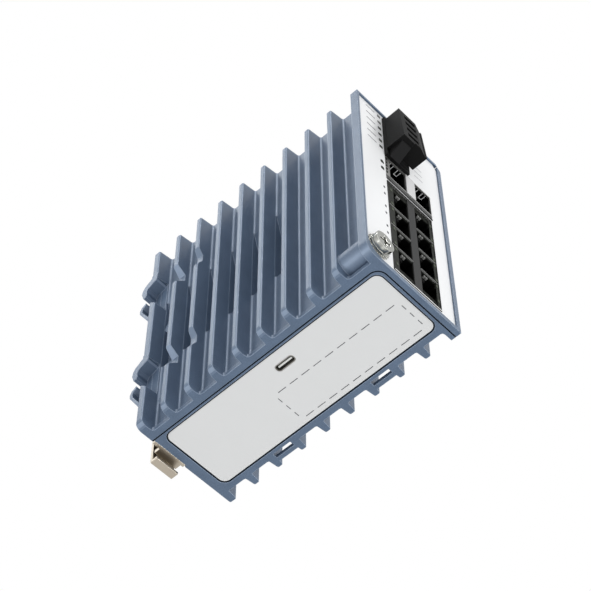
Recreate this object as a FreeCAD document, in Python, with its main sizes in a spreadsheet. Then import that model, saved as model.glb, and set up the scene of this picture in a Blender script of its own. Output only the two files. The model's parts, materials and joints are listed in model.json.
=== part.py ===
import FreeCAD, Part
import math
import os
import Sketcher
from FreeCAD import Placement, Rotation, Vector

# A switch for a 35 mm top-hat rail: a slim die-cast case in two halves with cooling fins on both
# flanks, a printed front plate with eight jacks, a stacked pair of optical cages and a plug for
# the supply, and a folded steel clip on its back that hangs on the rail.
#
# Sizes below are laid out in the case's own frame: X across the case from its middle, to the right
# seen from the front, Y from the front rim to the back, Z up from the underside. Every piece is
# then placed so that the origin is the middle of the rail seat, in its plane.

SIZES = (
    ("case_width", "51.8", "over the fin tips"),
    ("case_depth", "119.0", "front rim to the back of the case"),
    ("case_height", "119.5", "underside to the top of the fins"),
    ("bezel_height", "118.9", "height of the front rim"),
    ("fin_height", "6.95", "from the flank out to the fin tip"),
    ("fin_tip", "2.5", "thickness of a fin at its tip"),
    ("fin_root", "4.0", "thickness of a fin at the flank"),
    ("fin_pitch", "12.63", "from one fin to the next"),
    ("first_fin", "14.7", "front rim to the front of the first fin's tip"),
    ("fin_round", "0.7", "rounding of a fin's tip edges"),
    ("root_round", "1.1", "hollow at the foot of a fin"),
    ("wall_left", "2.5", "flank of the left half"),
    ("wall_right", "1.6", "flank of the right half"),
    ("end_wall", "2.6", "back, top and bottom walls"),
    ("lip_left", "0.95", "ledge below the left channels, proud of the flank"),
    ("lip_right", "2.1", "ledge below the right channels, proud of the flank"),
    ("lip_low", "1.9", "height of the left ledge"),
    ("lip_corner", "2.0", "hollow where the left ledge meets the fin behind it"),
    ("lip_height", "3.5", "height of the right ledge"),
    ("lip_round", "1.0", "hollow where a right fin meets its ledge"),
    ("lip_run", "2.8", "how far that hollow stays inside the right fin tips"),
    ("parting_left", "16.9", "middle of the case to the joint line of the halves"),
    ("parting_gap", "0.45", "open joint line between the halves"),
    ("parting_round", "4.0", "rounding of the joint line's front corner below"),
    ("tip_round", "3.5", "rounding of the left fins' lower outer corners"),
    ("dent_depth", "3.2", "how far the flank is set in between the fins"),
    ("dent_foot", "41.2", "height of the step at the dent's lower end"),
    ("dent_ramp", "73.3", "height at which the dent's ramp starts"),
    ("dent_top", "85.6", "height at which the dent's ramp ends"),
    ("dent_skin", "1.8", "wall left behind the dent"),
    ("dent_first", "3", "fin in front of the first dent"),
    ("dent_count", "6", "channels with a dent"),
    ("notch_low", "26.6", "lower edge of the lower notch in the fin tips"),
    ("notch_open", "4.4", "height of a notch's deep part"),
    ("notch_slope", "4.2", "height of each of a notch's slanting ends"),
    ("notch_shallow", "2.4", "notch depth in the fin next but one to the rear"),
    ("notch_deep", "4.4", "notch depth in the fin before the rear one"),
    ("hook_low", "28.0", "underside of the case to the gap below the lower hook"),
    ("hook_pitch", "57.3", "lower hook and notches to upper hook and notches"),
    ("hook_reach", "5.5", "how far the rear fin's hooks stand back of the case"),
    ("hook_thick", "2.9", "thickness of a hook"),
    ("hook_web", "1.2", "web that closes a hook's inner end, proud of the flank"),
    ("hook_web_reach", "2.6", "that web behind the case"),
    ("bezel_depth", "2.35", "front rim to the joint line"),
    ("bezel_flank", "3.7", "depth of the front rim on the left flank"),
    ("rim_left", "1.25", "width of the rim beside the front plate, left"),
    ("rim_right", "1.8", "the same, right"),
    ("rim_bottom", "1.95", "the same, below"),
    ("rim_top", "1.0", "the same, above"),
    ("rim_corner", "5.3", "outer rounding of the rim, lower left"),
    ("rim_hollow", "8.0", "inner rounding of the rim there, round the earth screw"),
    ("rim_chamfer", "3.4", "outer rounding of the rim, upper right"),
    ("seal_width", "1.0", "rubber cord in the joint behind the rim"),
    ("flange_depth", "1.95", "flange of the right half behind the rim"),
    ("plate_recess", "0.8", "front plate set back behind the rim"),
    ("plate_thick", "0.7", "front plate"),
    ("plate_play", "0.15", "gap around the front plate and what passes through it"),
    ("board_thick", "1.6", "circuit boards"),
    ("board_face", "9.95", "middle of the case to the main board's right face"),
    ("board_play", "0.3", "gap round the boards and inner pieces"),
    ("jack_width", "26.3", "stacked jack, across"),
    ("jack_foot", "4.5", "underside of the case to the stacked jack"),
    ("jack_height", "61.8", "stacked jack, top to bottom"),
    ("jack_depth", "25.4", "stacked jack, front to back"),
    ("jack_skin", "0.25", "sheet of the jack's and the cage's shields"),
    ("port_pitch", "14.0", "one jack to the next"),
    ("port_foot", "15.1", "underside of the case to the middle of the lowest jack"),
    ("port_height", "11.8", "jack opening, top to bottom"),
    ("port_width", "7.9", "jack opening, across"),
    ("port_left", "5.9", "middle of the case to the left jacks' opening"),
    ("port_right", "6.6", "middle of the case to the right jacks' opening"),
    ("port_depth", "14.0", "depth of a jack opening"),
    ("latch_width", "3.0", "depth of the latch notch beside a jack opening"),
    ("latch_height", "6.2", "height of the latch notch"),
    ("spine_left", "1.9", "middle of the case to the bar between the jack columns"),
    ("spine_width", "4.1", "bar between the jack columns"),
    ("spine_play", "0.1", "gap between that bar and the sheets between the rows"),
    ("cage_foot", "68.6", "underside of the case to the optical cage zone"),
    ("cage_band", "3.0", "height of the spring fingers below the cage"),
    ("cage_height", "14.2", "optical cage, top to bottom"),
    ("cage_width", "27.2", "optical cage, across"),
    ("cage_depth", "47.0", "optical cage, front to back"),
    ("cage_rib", "5.4", "strip between the two optical ports"),
    ("cage_port", "9.6", "opening of one optical port, across"),
    ("cage_port_left", "7.6", "middle of the case to the left optical port"),
    ("cage_wall", "0.4", "height of the cage above and below a port"),
    ("header_foot", "86.1", "underside of the case to the supply header"),
    ("header_height", "29.9", "supply header, top to bottom"),
    ("header_width", "13.6", "supply header, across"),
    ("header_depth", "12.0", "supply header, front to back"),
    ("header_wall", "1.3", "wall of the supply header"),
    ("header_reach", "0.6", "supply header in front of the rim"),
    ("pole_pitch", "5.08", "one terminal to the next"),
    ("plug_reach", "10.0", "plug in front of the rim, below"),
    ("plug_lean", "1.6", "how far the plug's front leans back at its top"),
    ("plug_foot", "90.0", "underside of the case to the plug's body"),
    ("plug_height", "23.3", "plug's body, top to bottom"),
    ("plug_width", "15.4", "plug, across"),
    ("plug_left", "10.0", "middle of the case to the plug's left side"),
    ("plug_play", "0.3", "gap between the plug and its header"),
    ("plug_crease", "10.2", "plug's left side to the crease of its front"),
    ("plug_fall", "4.4", "width of the slope beyond that crease"),
    ("plug_set", "1.5", "how far that slope falls back"),
    ("plug_step", "1.3", "plug's underside higher beside its ear"),
    ("ear_reach", "7.6", "plug's end ears in front of the rim"),
    ("ear_left", "1.4", "plug's left side to its ears"),
    ("ear_width", "5.1", "plug's end ears, across"),
    ("ear_drop", "1.3", "lower ear below the header"),
    ("ear_lip", "0.6", "ears' front edge beyond the plug's ends"),
    ("pole_top", "3.9", "plug's upper end to its first wire entry"),
    ("socket_left", "2.9", "plug's left side to the wire entries"),
    ("socket_width", "6.4", "wire entry, across"),
    ("socket_height", "2.7", "wire entry, top to bottom"),
    ("socket_depth", "5.5", "wire entry, depth"),
    ("label_left", "15.0", "middle of the case to the underside plate, left"),
    ("label_right", "17.65", "middle of the case to the underside plate, right"),
    ("label_front", "4.6", "front rim to the underside plate"),
    ("label_back", "114.1", "front rim to the underside plate's rear edge"),
    ("label_round", "3.2", "corners of the underside plate"),
    ("label_play", "0.6", "gap round the underside plate"),
    ("label_recess", "0.5", "underside plate set in"),
    ("label_thick", "0.5", "underside plate"),
    ("usb_y", "56.7", "front rim to the middle of the service port"),
    ("usb_length", "8.94", "service port shell, outside"),
    ("usb_width", "3.26", "service port shell, outside"),
    ("usb_skin", "0.3", "service port shell, sheet"),
    ("usb_depth", "7.4", "service port shell, depth"),
    ("light_x", "12.0", "middle of the case to the row of lights"),
    ("light_foot", "90.3", "underside of the case to the lowest status light"),
    ("light_pitch", "4.94", "one status light to the next"),
    ("light_width", "1.8", "a light, across"),
    ("light_height", "1.5", "a light, top to bottom"),
    ("earth_x", "18.6", "middle of the case to the earth screw"),
    ("earth_z", "9.2", "underside of the case to the earth screw"),
    ("earth_boss", "6.2", "radius of the cast boss behind the earth screw"),
    ("earth_shank", "5.0", "thread of the earth screw"),
    ("earth_head", "9.4", "head of the earth screw"),
    ("earth_head_depth", "2.2", "height of that head"),
    ("washer_width", "10.0", "flat washer"),
    ("washer_thick", "0.9", "flat washer"),
    ("star_width", "11.2", "toothed washer"),
    ("star_thick", "0.7", "toothed washer"),
    ("rail_height", "61.5", "underside of the case to the middle of the rail"),
    ("rail_width", "35.0", "rail, edge to edge"),
    ("rail_sheet", "1.0", "thickness of the rail's edges"),
    ("sheet", "1.5", "steel of the rail bracket"),
    ("bracket_thread", "3.0", "bracket screws"),
    ("sink_width", "5.6", "heads of the bracket screws"),
    ("sink_depth", "0.9", "heads of the bracket screws, let in flush"),
    ("cover_bore", "10.0", "depth of the cover screws' holes"),
    ("board_bore", "7.0", "depth of the board screws' holes"),
    ("bracket_left", "15.9", "middle of the case to the bracket, left"),
    ("bracket_width", "16.2", "rail bracket, across"),
    ("bracket_top", "95.0", "underside of the case to the bracket's upper end"),
    ("bracket_sink", "0.8", "bracket let into the back of the case"),
    ("grip_play", "0.7", "room for the rail's edges in the hooks"),
    ("hook_grip", "2.4", "how far the upper hook reaches down over the rail"),
    ("tab_left", "12.2", "middle of the case to the bracket's foot, left"),
    ("tab_width", "11.3", "bracket's foot and latch, across"),
    ("tab_reach", "2.8", "bracket's foot behind the bracket"),
    ("latch_sheet", "1.1", "steel of the latch"),
    ("latch_play", "0.3", "running gap of the latch"),
    ("latch_foot", "4.4", "underside of the case to the latch's foot, below"),
    ("latch_lip", "3.6", "latch's foot, front to back"),
    ("latch_step", "0.8", "latch behind the bracket's foot"),
    ("latch_bend", "8.0", "underside of the case to the latch's upper bend"),
    ("latch_travel", "4.0", "stroke that frees the rail"),
    ("spring_wire", "0.6", "wire of the latch spring"),
    ("spring_width", "3.6", "latch spring, outside"),
    ("spring_turns", "7", "turns of the latch spring"),
    ("spring_seat", "16.2", "underside of the case to the spring's lower end"),
    ("spring_length", "16.8", "latch spring at rest"),
    ("slot_inset", "2.0", "right fin tips to the bars of the two slots below"),
    ("slot_bar", "1.9", "thickness of those bars"),
    ("slot_height", "2.0", "height of those bars"),
    ("cover_screw_low", "16.0", "underside of the case to the cover's lower screw"),
    ("cover_screw_pitch", "47.6", "the cover's lower screw to its upper one"),
    ("cover_screw_back", "5.4", "the cover's screws in front of the rear fin"),
    ("screw_thread", "3.0", "case and board screws"),
    ("screw_head", "5.5", "their heads"),
    ("screw_head_depth", "1.8", "their heads"),
)


class Measure:
    """A length that carries both its value and the sheet formula that gives it."""

    def __init__(self, value, text):
        self.value = value
        self.text = text

    def __add__(self, other):
        return combined(self, "+", other)

    def __radd__(self, other):
        return combined(other, "+", self)

    def __sub__(self, other):
        return combined(self, "-", other)

    def __rsub__(self, other):
        return combined(other, "-", self)

    def __mul__(self, other):
        return combined(self, "*", other)

    def __rmul__(self, other):
        return combined(other, "*", self)

    def __truediv__(self, other):
        return combined(self, "/", other)

    def __neg__(self):
        return Measure(-self.value, f"(-1 * {self.text})")


def measure(thing):
    """A plain number as a Measure; a Measure as it is."""
    if isinstance(thing, Measure):
        return thing
    return Measure(float(thing), f"({float(thing)})")


def combined(left, sign, right):
    """The Measure of two lengths joined by a sign."""
    left = measure(left)
    right = measure(right)
    results = {
        "+": left.value + right.value,
        "-": left.value - right.value,
        "*": left.value * right.value,
        "/": left.value / right.value if right.value else 0.0,
    }
    return Measure(results[sign], f"({left.text} {sign} {right.text})")


doc = FreeCAD.newDocument("rail_switch")
sheet = doc.addObject("Spreadsheet::Sheet", "Sizes")
size = {}
for row, (name, number, note) in enumerate(SIZES, start=1):
    sheet.set(f"A{row}", number)
    sheet.set(f"B{row}", note)
    sheet.setAlias(f"A{row}", name)
    size[name] = Measure(float(number), f"Sizes.{name}")
doc.recompute()


def of(name):
    """The Measure of one size of the sheet."""
    return size[name]


# Places that several pieces share.
half = of("case_width") / 2
flank_left = -half + of("fin_height")
flank_right = half - of("fin_height")
inside_left = flank_left + of("wall_left")
inside_right = flank_right - of("wall_right")
inside_back = of("case_depth") - of("end_wall")
inside_top = of("case_height") - of("end_wall")
cover_edge = -of("parting_left")
frame_edge = cover_edge + of("parting_gap")
half_start = of("bezel_depth") + of("parting_gap")
plate_front = of("plate_recess")
plate_back = plate_front + of("plate_thick")
board_right = -of("board_face")
board_left = board_right - of("board_thick")
seat = of("case_depth") - of("bracket_sink") + of("sheet")
bracket_front = of("case_depth") - of("bracket_sink")
rail_top = of("rail_height") + of("rail_width") / 2
rail_foot = of("rail_height") - of("rail_width") / 2
jack_right = board_right + of("jack_width")
cage_right = board_right + of("cage_width")
header_right = board_right + of("header_width")
plug_right = -of("plug_left") + of("plug_width")
land_face = flank_left + of("dent_depth") + of("dent_skin")
post_radius = of("screw_thread") * 1.1
header_back = of("header_depth") - of("header_reach")
cage_low = of("cage_foot") + of("cage_band")
cage_top = cage_low + of("cage_height")
jack_front = plate_front - 0.1
jack_face = jack_front + 0.5
light_board_front = half_start + of("board_thick") * 1.4
board_front = light_board_front + of("board_thick") * 0.75 + of("board_play")
pin_x = board_right + of("header_width") * 0.45
latch_middle = -of("tab_left") + of("tab_width") / 2
spring_y = seat + of("latch_play") + of("spring_width") / 2 + 0.1
FINS = 9
POLES = 4
PORT_ROWS = 4
DENTS = int(of("dent_count").value)

nodes = []


def bind(item, prop, length):
    """Tie one property of an object to the sheet."""
    item.setExpression(prop, measure(length).text)


def finished(item, label):
    """Name a piece, put it into the frame of the rail seat and keep it for the export."""
    item.Label = label
    bind(item, ".Placement.Base.y", -seat)
    bind(item, ".Placement.Base.z", -of("rail_height"))
    nodes.append(item)
    return item


def body_named(name):
    """An empty body."""
    return doc.addObject("PartDesign::Body", name)


def origin_part(body, role):
    """A plane or axis of a body's own origin."""
    for item in body.Origin.OriginFeatures:
        if item.Role == role:
            return item
    raise RuntimeError(role)


# For each plane: the role, the sign of the sketch's normal along its axis.
PLANES = {"XY": ("XY_Plane", 1), "XZ": ("XZ_Plane", -1), "YZ": ("YZ_Plane", 1)}


def new_sketch(body, plane, start):
    """An empty sketch parallel to an origin plane, at a distance along that plane's axis."""
    role, sign = PLANES[plane]
    drawn = body.newObject("Sketcher::SketchObject", "outline")
    drawn.AttachmentSupport = [(origin_part(body, role), "")]
    drawn.MapMode = "FlatFace"
    bind(drawn, ".AttachmentOffset.Base.z", sign * measure(start))
    return drawn


def hold_points(drawn, held):
    """Constraints that hold sketch points at their two distances from the origin."""
    limits = []
    lengths = []
    for geometry, point, across, along in held:
        for kind, axis, length in (("DistanceX", -2, across), ("DistanceY", -1, along)):
            lengths.append(length)
            if abs(length.value) < 1e-9:
                limits.append(Sketcher.Constraint("PointOnObject", geometry, point, axis))
            else:
                limits.append(Sketcher.Constraint(kind, -1, 1, geometry, point, length.value))
    first = drawn.ConstraintCount
    drawn.addConstraint(limits)
    for index, length in enumerate(lengths, start=first):
        if abs(length.value) >= 1e-9:
            bind(drawn, f"Constraints[{index}]", length)


def draw_outline(drawn, corners):
    """A closed outline of straight sides in a sketch."""
    corners = [(measure(across), measure(along)) for across, along in corners]
    count = len(corners)
    spots = [Vector(across.value, along.value, 0) for across, along in corners]
    sides = [Part.LineSegment(spots[i], spots[(i + 1) % count]) for i in range(count)]
    first = drawn.GeometryCount
    drawn.addGeometry(sides, False)
    links = [
        Sketcher.Constraint("Coincident", first + i, 2, first + (i + 1) % count, 1)
        for i in range(count)
    ]
    drawn.addConstraint(links)
    hold_points(drawn, [(first + i, 1, *corner) for i, corner in enumerate(corners)])


def draw_circle(drawn, across, along, radius):
    """A full circle in a sketch."""
    across = measure(across)
    along = measure(along)
    radius = measure(radius)
    middle = Vector(across.value, along.value, 0)
    index = drawn.addGeometry(Part.Circle(middle, Vector(0, 0, 1), radius.value), False)
    ring = drawn.addConstraint(Sketcher.Constraint("Radius", index, radius.value))
    bind(drawn, f"Constraints[{ring}]", radius)
    hold_points(drawn, [(index, 3, across, along)])


def rectangle(left, low, right, high):
    """The four corners of an upright rectangle."""
    return [(left, low), (right, low), (right, high), (left, high)]


def pad(body, plane, start, end, outlines=(), circles=()):
    """Add material from one distance to another along a plane's axis."""
    drawn = new_sketch(body, plane, start)
    for corners in outlines:
        draw_outline(drawn, corners)
    for circle in circles:
        draw_circle(drawn, *circle)
    added = body.newObject("PartDesign::Pad", "pad")
    added.Profile = drawn
    added.Reversed = PLANES[plane][1] < 0
    bind(added, "Length", measure(end) - start)
    doc.recompute()
    return added


def pocket(body, plane, start, end, outlines=(), circles=()):
    """Take material away from one distance to another along a plane's axis."""
    before = body.Shape.Volume
    drawn = new_sketch(body, plane, start)
    for corners in outlines:
        draw_outline(drawn, corners)
    for circle in circles:
        draw_circle(drawn, *circle)
    taken = body.newObject("PartDesign::Pocket", "pocket")
    taken.Profile = drawn
    taken.Type = 0
    taken.Reversed = PLANES[plane][1] > 0
    bind(taken, "Length", measure(end) - start)
    doc.recompute()
    if body.Shape.Volume > before - 1e-6:
        raise RuntimeError(f"a pocket of {body.Name} cuts nothing")
    return taken


def repeat(body, feature, role, pitch, count):
    """Copies of one feature in a row."""
    row = body.newObject("PartDesign::LinearPattern", "row")
    row.Originals = [feature]
    row.Direction = (origin_part(body, role), [""])
    bind(row, "Length", measure(pitch) * (count - 1))
    row.Occurrences = count
    body.Tip = row
    doc.recompute()
    return row


def edge_at(edge, direction, spots, tolerance=0.02):
    """Whether a straight edge runs along a direction through one of the spots of the other axes."""
    if edge.Curve.TypeId != "Part::GeomLine":
        return False
    if abs(abs(edge.Curve.Direction.dot(direction)) - 1) > 1e-6:
        return False
    middle = edge.CenterOfMass
    for spot in spots:
        gap = Vector(middle.x - spot[0], middle.y - spot[1], middle.z - spot[2])
        gap = gap - direction * gap.dot(direction)
        if gap.Length < tolerance:
            return True
    return False


def round_edges(body, radius, direction, spots, limit=1000):
    """Round the edges of a body that run along a direction through spots, up to a limit."""
    tip = body.Tip
    values = [[measure(value).value for value in spot] for spot in spots]
    names = [
        f"Edge{number}"
        for number, edge in enumerate(tip.Shape.Edges, start=1)
        if edge_at(edge, direction, values) and edge.CenterOfMass.dot(direction) < limit
    ]
    if not names:
        raise RuntimeError(f"no edge of {body.Name} to round")
    rounded = body.newObject("PartDesign::Fillet", "rounding")
    rounded.Base = (tip, names)
    bind(rounded, "Radius", radius)
    doc.recompute()
    return rounded


ALONG_X = Vector(1, 0, 0)
ALONG_Y = Vector(0, 1, 0)
ALONG_Z = Vector(0, 0, 1)


def fin_front(number):
    """Front of a fin's tip, counted from the front fin, which is number one."""
    return of("first_fin") + of("fin_pitch") * (number - 1)


cover_screw_y = fin_front(FINS) - of("cover_screw_back")


def cover_screw_heights():
    """The heights of the cover's two screws, clear of the notches."""
    return [of("cover_screw_low"), of("cover_screw_low") + of("cover_screw_pitch")]


def board_screw_spots():
    """Places of the four board screws, along and up the case."""
    alongs = (of("case_depth") * 0.5, of("case_depth") * 0.84)
    heights = (of("end_wall") + 9, inside_top - 9)
    return [(along, up) for along in alongs for up in heights]


def bracket_screw_spots():
    """Places of the four bracket screws, across and up the case."""
    middle = -of("bracket_left") + of("bracket_width") / 2
    spread = of("bracket_width") / 4
    heights = (rail_foot + 9.5, of("bracket_top") - 6)
    return [(middle + side * spread, up) for side in (-1, 1) for up in heights]


def arc_points(across, along, radius, start, end, steps=6):
    """Points of an arc round a middle, between two angles in degrees."""
    points = []
    for step in range(steps + 1):
        angle = math.radians(start + (end - start) * step / steps)
        points.append((across + radius * math.cos(angle), along + radius * math.sin(angle)))
    return points


def label_corners(play):
    """The underside plate's outline, wider by a gap."""
    return rectangle(-of("label_left") - play, of("label_front") - play,
                     of("label_right") + play, of("label_back") + play)


def right_channels():
    """Start and end of each channel between right fins at the ledge's edge."""
    flare = (of("fin_root") - of("fin_tip")) / 2 * (of("lip_right") / of("fin_height"))
    starts = [half_start + of("flange_depth")]
    ends = []
    for number in range(1, FINS + 1):
        ends.append(fin_front(number) - flare)
        starts.append(fin_front(number) + of("fin_tip") + flare)
    return list(zip(starts, ends))


def fin_corners(number, tip_x, root_x):
    """The four corners of a fin's section, from the front of its root round its tip."""
    front = fin_front(number)
    flare = (of("fin_root") - of("fin_tip")) / 2
    back = front + of("fin_tip")
    if number == FINS:
        return [(root_x, front - flare), (tip_x, front), (tip_x, of("case_depth"))]
    return [(root_x, front - flare), (tip_x, front), (tip_x, back), (root_x, back + flare)]


def left_case():
    """Left half: flank with nine fins, its lower ledge, the whole front rim and the earth boss."""
    body = body_named("left_case_body")
    section = [(inside_left, half_start), (flank_left, half_start)]
    for number in range(1, FINS + 1):
        section += fin_corners(number, -half, flank_left)
    section += [(inside_left, of("case_depth"))]
    pad(body, "XY", 0, of("case_height"), [section])
    tips = []
    roots = []
    for number in range(1, FINS + 1):
        corners = fin_corners(number, -half, flank_left)
        roots += [(corners[0][0], corners[0][1], 0)]
        tips += [(corners[1][0], corners[1][1], 0), (corners[2][0], corners[2][1], 0)]
        if number < FINS:
            roots += [(corners[3][0], corners[3][1], 0)]
    round_edges(body, of("fin_round"), ALONG_Z, tips)
    round_edges(body, of("root_round"), ALONG_Z, roots)

    # The ledge below the channels and the strip of the underside up to the joint line.
    ledge = [(flank_left - of("lip_left"), 0), (cover_edge, 0), (cover_edge, of("end_wall")),
             (inside_left, of("end_wall")), (flank_left - of("lip_left"), of("lip_low"))]
    pad(body, "XZ", of("bezel_depth"), of("case_depth"), [ledge])
    ledge_x = flank_left - of("lip_left")
    turn = of("lip_corner")
    for number in range(1, FINS + 1):
        front = fin_front(number)
        hollow = [(ledge_x + 0.3, front - turn), (ledge_x + 0.3, front + 0.3), (ledge_x - turn, front + 0.3)]
        hollow += arc_points(ledge_x - turn, front - turn, turn, 90, 0)
        pad(body, "XY", 0, of("lip_low"), [hollow])
    crown = rectangle(flank_left, inside_top, cover_edge, of("case_height"))
    pad(body, "XZ", half_start, of("case_depth"), [crown])

    # The front rim: an outer frame round the front plate and a web behind the plate.
    outer = [(-half, 0), (half, 0), (half, of("bezel_height") - of("rim_chamfer")),
             (half - of("rim_chamfer") * 0.8, of("bezel_height")), (-half, of("bezel_height"))]
    opening = rectangle(-half + of("rim_left"), of("rim_bottom"), half - of("rim_right"),
                        of("bezel_height") - of("rim_top"))
    pad(body, "XZ", 0, of("bezel_depth"), [outer])
    pad(body, "XZ", of("bezel_depth"), of("bezel_flank"),
        [rectangle(-half, 0, flank_left, of("bezel_height"))])
    pocket(body, "XZ", 0, plate_back, [opening])
    round_edges(body, of("rim_hollow"), ALONG_Y, [(-half + of("rim_left"), 0, of("rim_bottom"))])
    web = rectangle(board_left - 3, of("jack_foot") - of("board_play"),
                    cage_right + of("board_play"), of("header_foot") + of("header_height") + 1)
    pocket(body, "XZ", plate_back, of("bezel_depth"), [web])

    round_edges(body, of("rim_corner"), ALONG_Y, [(-half, 0, 0)], of("bezel_flank").value)

    # The earth boss and its threaded hole.
    boss = [(-of("earth_x"), of("earth_z"), of("earth_boss"))]
    pad(body, "XZ", of("bezel_depth"), fin_front(1), circles=boss)
    pocket(body, "XZ", plate_back, fin_front(1) - 1.5,
           circles=[(-of("earth_x"), of("earth_z"), of("earth_shank") / 2)])

    # The open joint line along the underside and the top.
    groove = of("parting_gap") * 3
    pocket(body, "XZ", of("bezel_depth"), of("case_depth") + 1,
           [rectangle(cover_edge, -1, inside_left + 0.1, groove),
            rectangle(cover_edge, of("case_height") - groove, inside_left + 0.1, of("case_height") + 1)])

    # The joint line turns its front corner below in an arc.
    turn = of("parting_round")
    corner = [(cover_edge - 0.2, half_start + turn), (cover_edge - 0.2, of("bezel_depth") - 0.2),
              (frame_edge + turn, of("bezel_depth") - 0.2)]
    corner += arc_points(frame_edge + turn, half_start + turn, turn + of("parting_gap"), 270, 180)
    pad(body, "XY", 0, of("end_wall"), [corner])

    # The fins' lower outer corners are rounded off.
    turn = of("tip_round")
    skirt = [(-half - 1, turn), (-half - 1, -1), (turn - half, -1)]
    skirt += arc_points(turn - half, turn, turn, 270, 180)
    pocket(body, "XZ", of("bezel_flank"), of("case_depth") + 1, [skirt])

    # Between the fins the flank is set in towards the heat source.
    land = rectangle(inside_left, of("dent_foot") - 3, land_face, of("dent_top") + 2)
    first = of("dent_first").value
    dent_start = fin_front(first) + (of("fin_tip") + of("fin_root")) / 2
    dent_end = dent_start + of("fin_pitch") - of("fin_root")
    pad(body, "XZ", dent_start - 2, inside_back - of("board_play"), [land])
    dent = [(flank_left - 0.5, of("dent_foot")), (flank_left + of("dent_depth"), of("dent_foot")),
            (flank_left + of("dent_depth"), of("dent_ramp")), (flank_left, of("dent_top")),
            (flank_left - 0.5, of("dent_top"))]
    cut = pocket(body, "XZ", dent_start, dent_end, [dent])
    repeat(body, cut, "Y_Axis", of("fin_pitch"), DENTS)

    # Notches in the tips of the two fins before the rear one, slanting at both ends.
    for number, depth in ((FINS - 2, of("notch_shallow")), (FINS - 1, of("notch_deep"))):
        front = fin_front(number) - of("fin_root")
        back = fin_front(number) + of("fin_tip") + of("fin_root")
        for low in (of("notch_low"), of("notch_low") + of("hook_pitch")):
            deep_low = low + of("notch_slope")
            deep_high = deep_low + of("notch_open")
            high = deep_high + of("notch_slope")
            notch = [(-half - 1, low), (-half, low), (-half + depth, deep_low),
                     (-half + depth, deep_high), (-half, high), (-half - 1, high)]
            pocket(body, "XZ", front, back, [notch])

    # The rear fin bends back into two hooks, each above a gap and a short curved tab.
    front = fin_front(FINS)
    back = of("case_depth")
    reach = back + of("hook_reach")
    thick = of("hook_thick")
    for low in (of("hook_low"), of("hook_low") + of("hook_pitch")):
        bend = low + thick * 5.5
        gap = [(front - of("fin_root"), low - thick * 1.6), (front, low - thick * 1.6),
               (back, low - thick * 0.7), (back + 1, low - thick * 0.7), (back + 1, bend - thick * 0.5),
               (front - of("fin_root"), bend - thick * 0.5)]
        pocket(body, "YZ", -half - 1, flank_left - of("root_round"), [gap])
        hook = [(front, bend + thick * 0.6), (front, bend - thick), (front + 0.6, bend - thick * 1.2),
                (reach - thick * 1.3, bend - thick * 1.85), (reach - thick, bend - thick * 2.4),
                (reach - thick * 1.1, bend - thick * 3.3), (reach - thick * 0.9, bend - thick * 3.7),
                (reach - thick * 0.4, bend - thick * 3.7), (reach, bend - thick * 2.4),
                (reach - thick * 0.1, bend - thick * 1.6), (reach - thick * 0.5, bend - thick * 0.9),
                (back, bend), (back, bend + thick * 0.6)]
        pad(body, "YZ", -half, flank_left + 0.5, [hook])
        skin = thick * 0.5
        tab = [(back - 0.3, low - thick * 5.3), (reach - 0.2, low - thick * 1.9),
               (reach, low - thick * 1.2), (reach - thick * 0.3, low - thick * 0.5),
               (back + 2.2, low), (back + 2.0, low - skin),
               (reach - skin - thick * 0.1, low - skin * 2), (reach - skin, low - skin * 2.8),
               (reach - skin - 0.3, low - skin * 4), (back - 0.3, low - thick * 4.3)]
        pad(body, "YZ", -half, flank_left + 0.5, [tab])
        behind = back + of("hook_web_reach")
        web = [(back - 0.3, low - thick), (behind - 0.4, low - thick * 0.3), (behind, low),
               (behind, bend - thick * 1.3), (back - 0.3, bend - thick * 0.2)]
        pad(body, "YZ", flank_left - of("hook_web"), flank_left + 0.5, [web])

    # Rear screw holes of the cover, between the last two fins.
    for up in cover_screw_heights():
        pad(body, "YZ", inside_left - 0.5, land_face, circles=[(cover_screw_y, up, post_radius)])
        spot = (cover_screw_y, up, of("screw_thread") / 2 + 0.15)
        pocket(body, "YZ", flank_left - 0.5, land_face + 0.5, circles=[spot])
    return finished(body, "left_case")


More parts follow.
